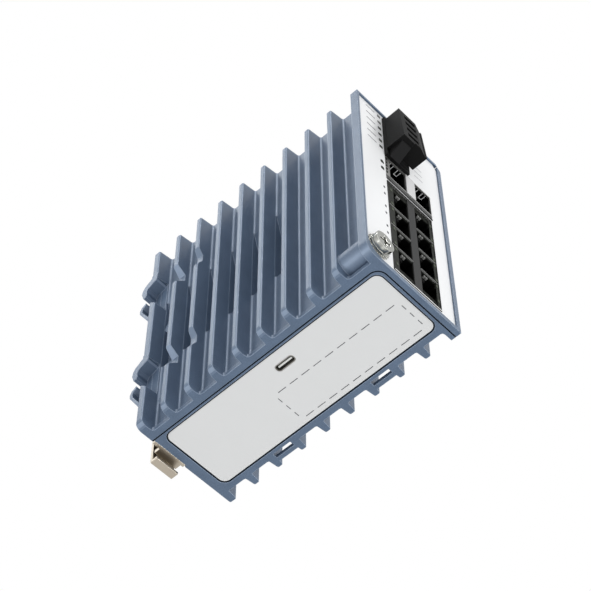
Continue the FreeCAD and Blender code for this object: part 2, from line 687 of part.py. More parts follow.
def right_case():
    """Right half: flank with nine fins, underside frame, back wall and top."""
    body = body_named("right_case_body")
    flange_back = half_start + of("flange_depth")
    section = [(inside_right, half_start), (half, half_start), (half, flange_back),
               (flank_right, flange_back)]
    for number in range(1, FINS + 1):
        section += fin_corners(number, half, flank_right)
    section += [(frame_edge, of("case_depth")), (frame_edge, inside_back),
                (inside_right, inside_back)]
    pad(body, "XY", 0, of("case_height"), [section])
    tips = []
    roots = [(flank_right, flange_back, 0)]
    for number in range(1, FINS + 1):
        corners = fin_corners(number, half, flank_right)
        roots += [(corners[0][0], corners[0][1], 0)]
        tips += [(corners[1][0], corners[1][1], 0), (corners[2][0], corners[2][1], 0)]
        if number < FINS:
            roots += [(corners[3][0], corners[3][1], 0)]
    round_edges(body, of("fin_round"), ALONG_Z, tips)
    round_edges(body, of("root_round"), ALONG_Z, roots)

    # The floor, and the ledge that fills the foot of every channel.
    ledge_x = flank_right + of("lip_right")
    pad(body, "XY", 0, of("end_wall"),
        [rectangle(frame_edge, half_start, inside_right + 1, inside_back + 1)])
    for start, end in right_channels():
        hollow = of("lip_round") * 0.3
        ledge = [(flank_right - 0.5, start - 0.2), (half - of("lip_run"), start - 0.2),
                 (ledge_x + hollow, start + hollow), (ledge_x, start + of("lip_round")),
                 (ledge_x, end - of("lip_round")), (ledge_x + hollow, end + 0.2),
                 (flank_right - 0.5, end + 0.2)]
        pad(body, "XY", 0, of("lip_height"), [ledge])

    # The top.
    pad(body, "XY", inside_top, of("case_height"),
        [rectangle(frame_edge, half_start, inside_right + 1, inside_back + 1)])

    # Two slots in the ledge, each closed outwards by a bar from fin to fin.
    for number in (2, 6):
        start = fin_front(number) + of("fin_tip")
        end = fin_front(number + 1)
        bar_out = half - of("slot_inset")
        pad(body, "XY", 0, of("slot_height"),
            [rectangle(ledge_x - 1, start - 0.3, bar_out, end + 0.3)])
        slot_in = flank_right + 0.75
        pocket(body, "XY", -1, of("lip_height") + 1,
               [rectangle(slot_in, start + 0.5, bar_out - of("slot_bar"), end - 0.5)])

    # The front flange ends level with the rim.
    cut = of("rim_chamfer")
    pocket(body, "XZ", half_start - 1, flange_back,
           [[(flank_right, of("bezel_height")), (half - cut * 0.8, of("bezel_height")),
             (half, of("bezel_height") - cut), (half + 1, of("bezel_height") - cut),
             (half + 1, of("case_height") + 1), (flank_right, of("case_height") + 1)]])

    # The seat of the underside plate, the service port and the holes for its light.
    play = of("label_play")
    spots = [(across, along, 0) for across, along in label_corners(play)]
    pocket(body, "XY", -1, of("label_recess") + of("label_thick"), [label_corners(play)])
    round_edges(body, of("label_round") + play, ALONG_Z, spots)
    round_edges(body, of("parting_round"), ALONG_Z, [(frame_edge, half_start, 0)],
                of("end_wall").value)
    usb_x = board_right + of("usb_width") / 2
    pocket(body, "XY", -1, of("end_wall") + 1,
           [rectangle(usb_x - of("usb_width") / 2 - 0.1, of("usb_y") - of("usb_length") / 2 - 0.1,
                      usb_x + of("usb_width") / 2 + 0.1, of("usb_y") + of("usb_length") / 2 + 0.1)])

    # The recess in the back for the rail bracket, open at the bottom.
    bracket_right = -of("bracket_left") + of("bracket_width")
    pocket(body, "XZ", bracket_front, of("case_depth") + 1,
           [rectangle(-of("bracket_left") - 0.5, -1, bracket_right + 0.5, of("bracket_top") + 0.3)])
    for across, up in bracket_screw_spots():
        hole = (across, up, of("bracket_thread") / 2)
        pocket(body, "XZ", inside_back - 1, of("case_depth"), circles=[hole])

    # Posts that take the cover's two screws and carry the main board.
    for up in cover_screw_heights():
        pad(body, "YZ", land_face, inside_right + 0.5, circles=[(cover_screw_y, up, post_radius)])
        bore = (cover_screw_y, up, of("screw_thread") / 2)
        pocket(body, "YZ", land_face - 1, land_face + of("cover_bore"), circles=[bore])
    for along, up in board_screw_spots():
        pad(body, "YZ", board_right, inside_right + 0.5, circles=[(along, up, post_radius)])
        bore = (along, up, of("screw_thread") / 2)
        pocket(body, "YZ", board_right - 1, board_right + of("board_bore"), circles=[bore])
    return finished(body, "right_case")


def block(name, left, front, low, right, back, high):
    """A plain box between two corners, in the frame of the rail seat."""
    item = doc.addObject("Part::Box", name)
    bind(item, "Length", measure(right) - left)
    bind(item, "Width", measure(back) - front)
    bind(item, "Height", measure(high) - low)
    bind(item, ".Placement.Base.x", left)
    bind(item, ".Placement.Base.y", measure(front) - seat)
    bind(item, ".Placement.Base.z", measure(low) - of("rail_height"))
    return item


# Turns that lay a cylinder's axis along X, Y or Z.
TURNS = {
    "X": Rotation(Vector(0, 1, 0), 90),
    "Y": Rotation(Vector(1, 0, 0), -90),
    "Z": Rotation(),
}


def rod(name, axis, across, along, up, radius, length):
    """A cylinder from a start point along an axis, in the frame of the rail seat."""
    item = doc.addObject("Part::Cylinder", name)
    item.Placement = Placement(Vector(), TURNS[axis])
    bind(item, "Radius", radius)
    bind(item, "Height", length)
    bind(item, ".Placement.Base.x", across)
    bind(item, ".Placement.Base.y", measure(along) - seat)
    bind(item, ".Placement.Base.z", measure(up) - of("rail_height"))
    return item


def joined(name, items):
    """Several shapes fused into one."""
    item = doc.addObject("Part::MultiFuse", name)
    item.Shapes = items
    return item


def without(name, base, tools):
    """One shape with others cut away."""
    item = doc.addObject("Part::Cut", name)
    item.Base = base
    item.Tool = tools[0] if len(tools) == 1 else joined(name + "_tools", tools)
    return item


def group(name, items):
    """Separate like pieces kept as one node."""
    item = doc.addObject("Part::Compound", name)
    item.Links = items
    return kept(item, name)


def kept(item, label):
    """Keep a piece that already lies in the frame of the rail seat."""
    item.Label = label
    nodes.append(item)
    return item


def screw(name, axis, sign, across, along, up, thread, shank, head, head_depth):
    """A pan-head screw with a cross recess: its head's seat at a point, its shank along the sign."""
    spot = {"X": across, "Y": along, "Z": up}
    head_spot = dict(spot)
    shank_spot = dict(spot)
    slot_spot = dict(spot)
    if sign > 0:
        head_spot[axis] = measure(spot[axis]) - head_depth
        slot_spot[axis] = head_spot[axis]
    else:
        shank_spot[axis] = measure(spot[axis]) - shank
        slot_spot[axis] = measure(spot[axis]) + measure(head_depth) * 0.45
    parts = [
        rod(name + "_head", axis, *head_spot.values(), measure(head) / 2, head_depth),
        rod(name + "_shank", axis, *shank_spot.values(), measure(thread) / 2, shank),
    ]
    reach = measure(head) * 0.3
    thin = measure(head) * 0.07
    deep = measure(head_depth) * 0.55
    others = [key for key in "XYZ" if key != axis]
    slots = []
    for wide, narrow in (others, others[::-1]):
        low = {axis: measure(slot_spot[axis]), wide: spot[wide] - reach, narrow: spot[narrow] - thin}
        high = {axis: low[axis] + deep, wide: spot[wide] + reach, narrow: spot[narrow] + thin}
        slots.append(block(name + "_slot", low["X"], low["Y"], low["Z"],
                           high["X"], high["Y"], high["Z"]))
    return without(name, joined(name + "_body", parts), slots)


def cover_screws():
    """Two screws through the left half into the right half's posts."""
    items = []
    for number, up in enumerate(cover_screw_heights(), start=1):
        items.append(screw(f"cover_screw_{number}", "X", 1, flank_left, cover_screw_y, up,
                           of("screw_thread"), of("wall_left") + of("dent_skin") + 7,
                           of("screw_head"), of("screw_head_depth")))
    group("cover_screws", items)


def case_seal():
    """Rubber cord behind the front rim: below from the earth boss, up the right side, above."""
    body = body_named("case_seal_body")
    cord = of("seal_width")
    low = of("parting_gap") * 3
    high = of("bezel_height") - low
    low_end = -of("earth_x") + of("earth_boss") + of("board_play")
    high_end = cover_edge + low
    right = inside_right + cord * 0.9
    outline = [(low_end, low), (right, low), (right, high), (high_end, high), (high_end, high - cord),
               (right - cord, high - cord), (right - cord, low + cord), (low_end, low + cord)]
    pad(body, "XZ", of("bezel_depth"), half_start, [outline])
    finished(body, "case_seal")


def front_plate():
    """Printed plate with the openings for the jacks, the cages, the header, lights and screw."""
    body = body_named("front_plate_body")
    play = of("plate_play")
    left = -half + of("rim_left") + play
    right = half - of("rim_right") - play
    low = of("rim_bottom") + play
    high = of("bezel_height") - of("rim_top") - play
    cut = of("rim_chamfer") * 0.8
    outline = [(left, low), (right, low), (right, high - cut), (right - cut * 0.8, high), (left, high)]
    jack = rectangle(board_right - play, of("jack_foot") - play, jack_right + play,
                     of("jack_foot") + of("jack_height") + play)
    header_top = of("header_foot") + of("header_height") + play
    upper = [(board_right - play, of("cage_foot") - play), (cage_right + play, of("cage_foot") - play),
             (cage_right + play, cage_top + play), (header_right + play, cage_top + play),
             (header_right + play, header_top), (board_right - play, header_top)]
    pad(body, "XZ", plate_front, plate_back, [outline, jack])
    pocket(body, "XZ", plate_front - 1, plate_back + 1, [upper])
    round_edges(body, of("rim_hollow") - play, ALONG_Y, [(left, 0, low)])
    windows = []
    for up in light_heights():
        windows.append(rectangle(-of("light_x") - of("light_width") / 2 - 0.05,
                                 up - of("light_height") / 2 - 0.05,
                                 -of("light_x") + of("light_width") / 2 + 0.05,
                                 up + of("light_height") / 2 + 0.05))
    pocket(body, "XZ", plate_front - 1, plate_back + 1, windows,
           [(-of("earth_x"), of("earth_z"), of("earth_shank") / 2 + 0.3)])
    finished(body, "front_plate")


def light_heights():
    """Heights of the six status lights and the two lights of the optical ports."""
    status = [of("light_foot") + of("light_pitch") * number for number in range(6)]
    optical = [of("light_foot") - of("light_pitch") * 2.4, of("light_foot") - of("light_pitch") * 3.4]
    return status + optical


def status_lights():
    """Light pipes from the front plate to the light board."""
    items = []
    for number, up in enumerate(light_heights(), start=1):
        items.append(block(f"light_{number}", -of("light_x") - of("light_width") / 2,
                           plate_front - 0.1, up - of("light_height") / 2,
                           -of("light_x") + of("light_width") / 2, light_board_front,
                           up + of("light_height") / 2))
    group("status_lights", items)
    board_foot = of("cage_foot") - 1
    kept(block("light_board", inside_left + 0.6, light_board_front, board_foot, board_left,
               light_board_front + of("board_thick") * 0.75, inside_top - 1), "light_board")


def port_rows():
    """Number, middle, lower and upper end of each row of two jacks."""
    rows = []
    for number in range(PORT_ROWS):
        middle = of("port_foot") + of("port_pitch") * number
        low = middle - of("port_pitch") / 2 + of("jack_skin") / 2
        high = middle + of("port_pitch") / 2 - of("jack_skin") / 2
        if number == 0:
            low = of("jack_foot") + of("jack_skin")
        if number == PORT_ROWS - 1:
            high = of("jack_foot") + of("jack_height") - of("jack_skin")
        rows.append((number + 1, middle, low, high))
    return rows


def jack_shield():
    """Sheet box round the stacked jack, with a thin wall between its rows."""
    body = body_named("jack_shield_body")
    skin = of("jack_skin")
    back = jack_front + of("jack_depth")
    top = of("jack_foot") + of("jack_height")
    pad(body, "XZ", jack_front, back, [rectangle(board_right, of("jack_foot"), jack_right, top)])
    rooms = [rectangle(board_right + skin, low, jack_right - skin, high)
             for number, middle, low, high in port_rows()]
    pocket(body, "XZ", jack_front - 1, back - skin, rooms)
    pocket(body, "XZ", jack_front - 1, jack_face,
           [rectangle(of("spine_left") - of("spine_play"), of("jack_foot") + skin,
                      of("spine_left") + of("spine_width") + of("spine_play"), top - skin)])
    finished(body, "jack_shield")


def jack_blocks():
    """Four moulded blocks of two jacks each, their latch notches facing outwards."""
    skin = of("jack_skin")
    back = jack_front + of("jack_depth") - skin
    deep = jack_face + of("port_depth")
    for number, middle, low, high in port_rows():
        base = block(f"jack_block_{number}_body", board_right + skin, jack_face, low,
                     jack_right - skin, back, high)
        tools = []
        for side, start in ((-1, -of("port_left")), (1, of("port_right"))):
            end = start + of("port_width")
            tools.append(block("port", start, jack_face - 1, middle - of("port_height") / 2,
                               end, deep, middle + of("port_height") / 2))
            notch = start - of("latch_width") if side < 0 else end - 1
            notch_end = start + 1 if side < 0 else end + of("latch_width") * 0.5
            tools.append(block("notch", notch, jack_face - 1, middle - of("latch_height") / 2,
                               notch_end, deep - 3, middle + of("latch_height") / 2))
        kept(without(f"jack_block_{number}", base, tools), f"jack_block_{number}")


def jack_small_parts():
    """The bar between the columns, the contacts and the port lights."""
    kept(block("jack_spine", of("spine_left"), jack_face - 0.4, of("jack_foot") + of("jack_skin"),
               of("spine_left") + of("spine_width"), jack_face,
               of("jack_foot") + of("jack_height") - of("jack_skin")), "jack_spine")
    contacts = []
    lights = []
    wire = 0.4
    for number, middle, low, high in port_rows():
        for side, start in ((-1, -of("port_left")), (1, of("port_right"))):
            wall = start + of("port_width") - wire if side < 0 else start
            for place in range(8):
                up = middle + (place - 3.5) * 1.02
                contacts.append(block("contact", wall, jack_face + 6, up - wire / 2,
                                      wall + wire, jack_face + of("port_depth"), up + wire / 2))
            outer = start - of("latch_width") if side < 0 else start + of("port_width") + 0.3
            width = 2.2 if side < 0 else 1.2
            for lift in (-1, 1):
                up = middle + lift * 5.0
                lights.append(block("port_light", outer, jack_face - 0.3, up - 1.1,
                                    outer + width, jack_face, up + 1.1))
    group("jack_contacts", contacts)
    group("port_lights", lights)


def optical_cage():
    """Stacked cage with two ports on edge, its spring fingers, bar and host sockets."""
    body = body_named("optical_cage_body")
    front = plate_front - 0.1
    back = front + of("cage_depth")
    wall = of("cage_wall")
    first = -of("cage_port_left")
    second = first + of("cage_port") + of("cage_rib")
    ports = [rectangle(start, cage_low + wall, start + of("cage_port"), cage_top - wall)
             for start in (first, second)]
    pad(body, "XZ", front, back,
        [rectangle(board_right, cage_low, cage_right, cage_top)])
    pocket(body, "XZ", front - 1, back - wall, ports)
    finished(body, "optical_cage")

    sockets = []
    for number, start in enumerate((first, second), start=1):
        left = start + 0.2
        right = start + of("cage_port") - 0.2
        middle = (cage_low + cage_top) / 2
        socket = block("socket_body", left, back - wall - 8, middle - 5, right, back - wall, middle + 5)
        slit = block("socket_slit", left + 4, back - wall - 9, middle - 4, left + 5.2,
                     back - wall - 3, middle + 4)
        sockets.append(without(f"optical_socket_{number}", socket, [slit]))
    group("optical_sockets", sockets)

    kept(block("cage_bar", first + of("cage_port") + 0.1, front - 0.3, cage_low + 0.2,
               second - 0.1, front, cage_top - 0.2), "cage_bar")

    comb = body_named("cage_fingers_body")
    step = of("cage_width") / 14
    low = of("cage_foot") + 0.15
    pad(comb, "XZ", front + 0.4, front + 0.65,
        [rectangle(board_right + 0.1, low, cage_right - 0.1, cage_low)])
    slits = [rectangle(board_right + step * number - 0.2, low - 1, board_right + step * number + 0.2,
                       cage_low - 0.8) for number in range(1, 14)]
    pocket(comb, "XZ", front - 1, front + 2, slits)
    finished(comb, "cage_fingers")


def supply_header():
    """Flanged four-pole header with its pins."""
    body = body_named("supply_header_body")
    wall = of("header_wall")
    front = -of("header_reach")
    low = of("header_foot")
    high = low + of("header_height")
    pad(body, "XZ", front, header_back, [rectangle(board_right, low, header_right, high)])
    pocket(body, "XZ", front - 1, header_back - wall,
           [rectangle(board_right + wall, low + wall, header_right - wall, high - wall)])
    pins = [(pin_x, up, 0) for up in pole_heights()]
    pocket(body, "XZ", front, header_back + 1,
           [rectangle(pin_x - 0.5, up - 0.5, pin_x + 0.5, up + 0.5) for up in pole_heights()])
    finished(body, "supply_header")
    items = [block("pin", pin_x - 0.5, header_back - wall - 7, up - 0.5, pin_x + 0.5,
                   header_back + 2.5, up + 0.5) for across, up, zero in pins]
    group("header_pins", items)


def pole_heights():
    """Heights of the four terminals."""
    top = of("plug_foot") + of("plug_height") - of("pole_top")
    return [top - of("pole_pitch") * number for number in range(POLES)]


def supply_plug():
    """Four-pole plug: wire entries in front, ears at its ends, screws on its right side."""
    body = body_named("supply_plug_body")
    play = of("plug_play")
    wall = of("header_wall")
    front = -of("plug_reach")
    back = -of("header_reach") - play
    left = -of("plug_left")
    low = of("plug_foot")
    high = low + of("plug_height")
    crease = left + of("plug_crease")
    side_front = front + of("plug_set")
    section = [(left, back), (left, front), (crease, front), (crease + of("plug_fall"), side_front),
               (crease + of("plug_fall"), side_front - 0.3), (plug_right, side_front - 0.3),
               (plug_right, back)]
    leaning = pad(body, "XY", low, high, [section])
    leaning.UseCustomVector = True
    leaning.Direction = Vector(0, 0, 1)
    bind(leaning, "Direction.y", of("plug_lean") / of("plug_height"))
    doc.recompute()
    pocket(body, "YZ", left - 1, plug_right + 1,
           [rectangle(back, low - 1, back + of("plug_lean") + 1, high + 1)])
    ear_right = left + of("ear_left") + of("ear_width")
    pocket(body, "YZ", ear_right, plug_right + 1,
           [rectangle(front - 1, low - 1, back + 1, low + of("plug_step"))])
    tongue = rectangle(board_right + wall + play, of("header_foot") + wall + play,
                       header_right - wall - play,
                       of("header_foot") + of("header_height") - wall - play)
    pad(body, "XZ", back, header_back - wall - 2.5, [tongue])
    ear_front = -of("ear_reach")
    lower = [(back, low + 0.5), (ear_front, low + 0.5), (ear_front, low - of("ear_lip")),
             (back, of("header_foot") - of("ear_drop"))]
    upper = [(back, high - 0.5), (ear_front, high - 0.5), (ear_front, high + of("ear_lip")),
             (back, of("header_foot") + of("header_height"))]
    pad(body, "YZ", left + of("ear_left"), ear_right, [lower, upper])
    slot_left = left + of("socket_left")
    entries = [rectangle(slot_left, up - of("socket_height") / 2, slot_left + of("socket_width"),
                         up + of("socket_height") / 2) for up in pole_heights()]
    pocket(body, "XZ", front - 1, front + of("socket_depth"), entries)
    screw_y = front + of("socket_depth") + 1.2
    pocket(body, "YZ", plug_right - 3.6, plug_right + 1,
           circles=[(screw_y - 1.2, up, 1.75) for up in pole_heights()])
    holes = [rectangle(pin_x - 0.7, up - 0.7, pin_x + 0.7, up + 0.7) for up in pole_heights()]
    pocket(body, "XZ", back + 1, header_back, holes)
    finished(body, "supply_plug")

    screws = []
    clamps = []
    for number, up in enumerate(pole_heights(), start=1):
        head = rod("plug_screw_head", "X", plug_right - 3.6, screw_y - 1.2, up, 1.6, 2.4)
        slit = block("plug_screw_slit", plug_right - 1.9, screw_y - 1.5, up - 1.3,
                     plug_right - 1.1, screw_y - 0.9, up + 1.3)
        screws.append(without(f"plug_screw_{number}", head, [slit]))
        rise = of("socket_height") / 2 - 0.2
        shell = block("clamp_shell", slot_left + 0.4, front + of("socket_depth") - 2.2, up - rise,
                      slot_left + of("socket_width") - 0.4, front + of("socket_depth"), up + rise)
        room = block("clamp_room", slot_left + 1.1, front, up - rise + 0.4,
                     slot_left + of("socket_width") - 1.1, front + 9, up + rise - 0.4)
        clamps.append(without(f"plug_clamp_{number}", shell, [room]))
    group("plug_screws", screws)
    group("plug_clamps", clamps)


def service_port():
    """Small oblong socket in the underside: its steel shell and its tongue."""
    middle = board_right + of("usb_width") / 2
    low = of("label_recess") + 0.1
    body = body_named("usb_shell_body")
    skin = of("usb_skin")
    wide = of("usb_width") / 2
    long = of("usb_length") / 2
    outer = rectangle(middle - wide, of("usb_y") - long, middle + wide, of("usb_y") + long)
    inner = rectangle(middle - wide + skin, of("usb_y") - long + skin,
                      middle + wide - skin, of("usb_y") + long - skin)
    pad(body, "XY", low, low + of("usb_depth"), [outer])
    pocket(body, "XY", low - 1, low + of("usb_depth") - skin, [inner])
    round_edges(body, wide * 0.6, ALONG_Z, [(across, along, 0) for across, along in inner])
    round_edges(body, wide * 0.8, ALONG_Z, [(across, along, 0) for across, along in outer])
    finished(body, "usb_shell")
    kept(block("usb_tongue", middle - 0.35, of("usb_y") - 3.35, low + 0.6, middle + 0.35,
               of("usb_y") + 3.35, low + of("usb_depth") - skin), "usb_tongue")


def underside_plate():
    """Blank plate let into the underside, with the service port's opening."""
    body = body_named("underside_plate_body")
    pad(body, "XY", of("label_recess"), of("label_recess") + of("label_thick"), [label_corners(0)])
    round_edges(body, of("label_round"), ALONG_Z,
                [(across, along, 0) for across, along in label_corners(measure(0))])
    middle = board_right + of("usb_width") / 2
    wide = of("usb_width") / 2 + 0.1
    long = of("usb_length") / 2 + 0.1
    opening = rectangle(middle - wide, of("usb_y") - long, middle + wide, of("usb_y") + long)
    pocket(body, "XY", -1, of("end_wall"), [opening])
    round_edges(body, wide * 0.8, ALONG_Z, [(across, along, 0) for across, along in opening])
    finished(body, "underside_plate")


def earth_terminal():
    """Earth screw with a flat and a toothed washer."""
    across = -of("earth_x")
    up = of("earth_z")
    star_front = plate_front - of("star_thick")
    washer_front = star_front - of("washer_thick")
    hole = of("earth_shank") / 2 + 0.15
    star = rod("star_disc", "Y", across, star_front, up, of("star_width") / 2, of("star_thick"))
    tools = [rod("star_hole", "Y", across, star_front - 1, up, hole, 4)]
    for reach_x, reach_z in arc_points(measure(0), measure(0), of("star_width") / 2, 0, 337.5, 15):
        tools.append(rod("star_gap", "Y", across + reach_x, star_front - 1, up + reach_z, 0.6, 4))
    kept(without("earth_star_washer", star, tools), "earth_star_washer")
    flat = rod("washer_disc", "Y", across, washer_front, up, of("washer_width") / 2, of("washer_thick"))
    hole_rod = rod("washer_hole", "Y", across, washer_front - 1, up, hole, 4)
    kept(without("earth_washer", flat, [hole_rod]), "earth_washer")
    kept(screw("earth_screw", "Y", 1, across, washer_front, up, of("earth_shank"), 13.0,
               of("earth_head"), of("earth_head_depth")), "earth_screw")


def boards():
    """Main board with its chip, thermal pad, transformers, choke and capacitors."""
    low = of("end_wall") + 2.4
    high = inside_top - 2
    back = cover_screw_y - post_radius - of("board_play")
    base = block("main_board_sheet", board_left, board_front, low, board_right, back, high)
    holes = [rod("board_hole", "X", board_left - 1, along, up, of("screw_thread") / 2 + 0.2, 4)
             for along, up in board_screw_spots()]
    kept(without("main_board", base, holes), "main_board")
    items = []
    for number, (along, up) in enumerate(board_screw_spots(), start=1):
        items.append(screw(f"board_screw_{number}", "X", 1, board_left, along, up,
                           of("screw_thread"), of("board_thick") + 5, of("screw_head"),
                           of("screw_head_depth")))
    group("board_screws", items)
    pad_back = 0.4
    chip_front = of("case_depth") * 0.52
    chip_low = of("dent_foot") + 8
    kept(block("switch_chip", land_face + pad_back, chip_front, chip_low, board_left,
               chip_front + 23, chip_low + 23), "switch_chip")
    kept(block("thermal_pad", land_face, chip_front + 1, chip_low + 1, land_face + pad_back,
               chip_front + 22, chip_low + 22), "thermal_pad")
    transformers = []
    jack_back = jack_front + of("jack_depth")
    for number, middle, row_low, row_high in port_rows():
        transformers.append(block(f"transformer_{number}", board_right, jack_back + 3, middle - 5.5,
                                  board_right + 6, jack_back + 3 + 14, middle + 5.5))
    group("port_transformers", transformers)
    kept(block("supply_choke", board_right, header_back + 6, of("header_foot") + 12,
               board_right + 8, header_back + 18, of("header_foot") + 24), "supply_choke")
    cans = [rod(f"capacitor_{number}", "X", board_right, of("cage_depth") + 22 + 11 * number,
                of("header_foot") + 3, 4, 13) for number in range(3)]
    group("supply_capacitors", cans)


def rail_bracket():
    """Folded steel bracket: hook above, foot below, ears and a lug that guide the latch."""
    body = body_named("rail_bracket_body")
    left = -of("bracket_left")
    right = left + of("bracket_width")
    thick = of("sheet")
    grip = seat + of("rail_sheet") + of("grip_play")
    pad(body, "YZ", left, right,
        [[(bracket_front, 0), (seat, 0), (seat, rail_top + of("latch_play")),
          (grip, rail_top + of("latch_play")), (grip, rail_top - of("hook_grip")),
          (grip + thick, rail_top - of("hook_grip")),
          (grip + thick, rail_top + of("latch_play") + thick),
          (seat, rail_top + of("latch_play") + thick), (seat, of("bracket_top")),
          (bracket_front, of("bracket_top"))]])
    tab_left = -of("tab_left")
    tab_right = tab_left + of("tab_width")
    pad(body, "YZ", tab_left, tab_right,
        [[(bracket_front, 0), (seat + of("tab_reach"), 0), (seat + of("tab_reach"), thick),
          (bracket_front, thick)]])
    play = of("latch_play")
    ear_low = of("latch_bend") + 12
    ear_high = ear_low + 6
    ear_back = seat + play + of("latch_sheet") + play
    for side, edge in ((-1, tab_left), (1, tab_right)):
        wall_in = edge + side * play
        wall_out = wall_in + side * thick
        lip_in = edge - side * 1.2
        ear = [(wall_in, seat - 0.3), (wall_in, ear_back), (lip_in, ear_back),
               (lip_in, ear_back + thick), (wall_out, ear_back + thick), (wall_out, seat - 0.3)]
        pad(body, "XY", ear_low, ear_high, [ear])
    lug_high = of("spring_seat")
    pad(body, "YZ", latch_middle - 1.6, latch_middle + 1.6,
        [[(seat - 0.3, lug_high - thick * 0.8), (spring_y + of("spring_width") / 2, lug_high - thick * 0.8),
          (spring_y + of("spring_width") / 2, lug_high), (seat - 0.3, lug_high)]])
    for across, up in bracket_screw_spots():
        pocket(body, "XZ", bracket_front - 1, seat + 1,
               circles=[(across, up, of("bracket_thread") / 2 + 0.15)])
        pocket(body, "XZ", seat - of("sink_depth"), seat + 1,
               circles=[(across, up, of("sink_width") / 2 + 0.1)])
    finished(body, "rail_bracket")


def rail_latch():
    """Sliding latch: foot for a screwdriver below, window for the spring, nose under the rail."""
    body = body_named("rail_latch_body")
    play = of("latch_play")
    thin = of("latch_sheet")
    left = -of("tab_left")
    right = left + of("tab_width")
    face = seat + play
    back = face + thin
    step = seat + of("tab_reach") + of("latch_step")
    foot = -of("latch_foot")
    bend = of("latch_bend")
    nose = rail_foot - 0.05
    hook_in = seat + of("rail_sheet") + of("grip_play")
    side = [(step + thin, foot), (step + thin, bend), (back, bend), (back, nose - thin),
            (hook_in + thin, nose - thin), (hook_in + thin, nose + of("hook_grip")),
            (hook_in, nose + of("hook_grip")), (hook_in, nose), (face, nose),
            (face, bend - thin), (step, bend - thin), (step, foot + thin),
            (step + thin - of("latch_lip"), foot + thin), (step + thin - of("latch_lip"), foot)]
    pad(body, "YZ", left, right, [side])
    window_low = of("spring_seat") - of("sheet") - of("latch_travel") + 1
    window_high = of("spring_seat") + of("spring_length")
    wide = of("spring_width") / 2 + 0.4
    pocket(body, "XZ", face - 1, back + 0.05,
           [rectangle(latch_middle - wide, window_low, latch_middle + wide, window_high)])
    pad(body, "YZ", latch_middle - wide, latch_middle + wide,
        [[(back - 0.3, window_high), (spring_y + of("spring_width") / 2, window_high),
          (spring_y + of("spring_width") / 2, window_high + thin), (back - 0.3, window_high + thin)]])
    finished(body, "rail_latch")


def latch_spring():
    """Coil between the bracket's lug and the latch: a wire swept along a helix."""
    pitch = (of("spring_length") - of("spring_wire")) / of("spring_turns")
    radius = (of("spring_width") - of("spring_wire")).value / 2
    wire = of("spring_wire").value / 2
    height = (of("spring_length") - of("spring_wire")).value
    path = Part.makeHelix(pitch.value, height, radius)
    start = Vector(radius, 0, 0)
    ring = Part.Wire([Part.makeCircle(wire, start, Vector(0, 1, pitch.value / (2 * math.pi * radius)))])
    coil = Part.Wire(path.Edges).makePipeShell([ring], True, True)
    item = doc.addObject("Part::Feature", "latch_spring")
    item.Shape = coil
    bind(item, ".Placement.Base.x", latch_middle)
    bind(item, ".Placement.Base.y", spring_y - seat)
    bind(item, ".Placement.Base.z", of("spring_seat") + of("spring_wire") / 2 - of("rail_height"))
    kept(item, "latch_spring")


def bracket_screws():
    """Four flush screws that hold the bracket."""
    items = []
    for number, (across, up) in enumerate(bracket_screw_spots(), start=1):
        items.append(screw(f"bracket_screw_{number}", "Y", -1, across, seat - of("sink_depth"), up,
                           of("bracket_thread"), 4.0, of("sink_width"), of("sink_depth")))
    group("bracket_screws", items)


left_case()
right_case()
case_seal()
cover_screws()
front_plate()
status_lights()
jack_shield()
jack_blocks()
jack_small_parts()
optical_cage()
supply_header()
supply_plug()
service_port()
underside_plate()
earth_terminal()
boards()
rail_bracket()
rail_latch()
latch_spring()
bracket_screws()
doc.recompute()

for item in doc.Objects:
    if "Invalid" in item.State or "Error" in item.State:
        raise RuntimeError(f"{item.Name} failed: {item.State}")
for node in nodes:
    if node.Shape.isNull() or not node.Shape.isValid():
        raise RuntimeError(f"{node.Label} has no valid shape")

os.makedirs("parts", exist_ok=True)
for node in nodes:
    node.Shape.exportStep(f"parts/{node.Label}.step")
    print(node.Label, len(node.Shape.Solids), round(node.Shape.Volume, 1))
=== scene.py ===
import json

import bpy
import numpy as np
from mathutils import Matrix, Vector


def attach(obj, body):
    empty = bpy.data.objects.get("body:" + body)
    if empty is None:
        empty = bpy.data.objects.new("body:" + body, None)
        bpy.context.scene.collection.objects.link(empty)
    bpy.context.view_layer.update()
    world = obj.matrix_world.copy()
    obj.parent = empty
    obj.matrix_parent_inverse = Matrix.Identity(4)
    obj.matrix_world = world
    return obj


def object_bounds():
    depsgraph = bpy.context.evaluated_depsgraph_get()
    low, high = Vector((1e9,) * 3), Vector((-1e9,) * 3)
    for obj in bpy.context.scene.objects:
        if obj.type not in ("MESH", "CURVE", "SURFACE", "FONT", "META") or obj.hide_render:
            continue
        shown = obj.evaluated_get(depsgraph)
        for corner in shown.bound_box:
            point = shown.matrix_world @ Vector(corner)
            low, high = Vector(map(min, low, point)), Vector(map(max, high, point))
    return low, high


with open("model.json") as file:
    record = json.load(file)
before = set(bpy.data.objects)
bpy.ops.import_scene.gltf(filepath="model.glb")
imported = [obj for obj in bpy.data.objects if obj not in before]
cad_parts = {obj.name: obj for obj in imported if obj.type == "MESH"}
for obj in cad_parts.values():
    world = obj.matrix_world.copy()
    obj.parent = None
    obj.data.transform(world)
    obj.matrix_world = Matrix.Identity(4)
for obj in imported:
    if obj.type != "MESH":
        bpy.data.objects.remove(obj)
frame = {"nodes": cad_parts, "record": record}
low_before, high_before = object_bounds()

MM = 0.001
# The case's own frame has its origin in the middle of the front rim's foot. These two lengths in
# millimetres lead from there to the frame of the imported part.
SEAT = 119.7
RAIL_HEIGHT = 61.5

# The colour sockets of a mix node share their names with its other sockets, so they go by number.
MIX_FIRST, MIX_SECOND, MIX_RESULT = 6, 7, 2
# Size of the broad mottling of every finish, and how deep its change to the colour of a painted
# shade inside reaches.
MOTTLE_MM = 9.0
FADE_MM = 0.6
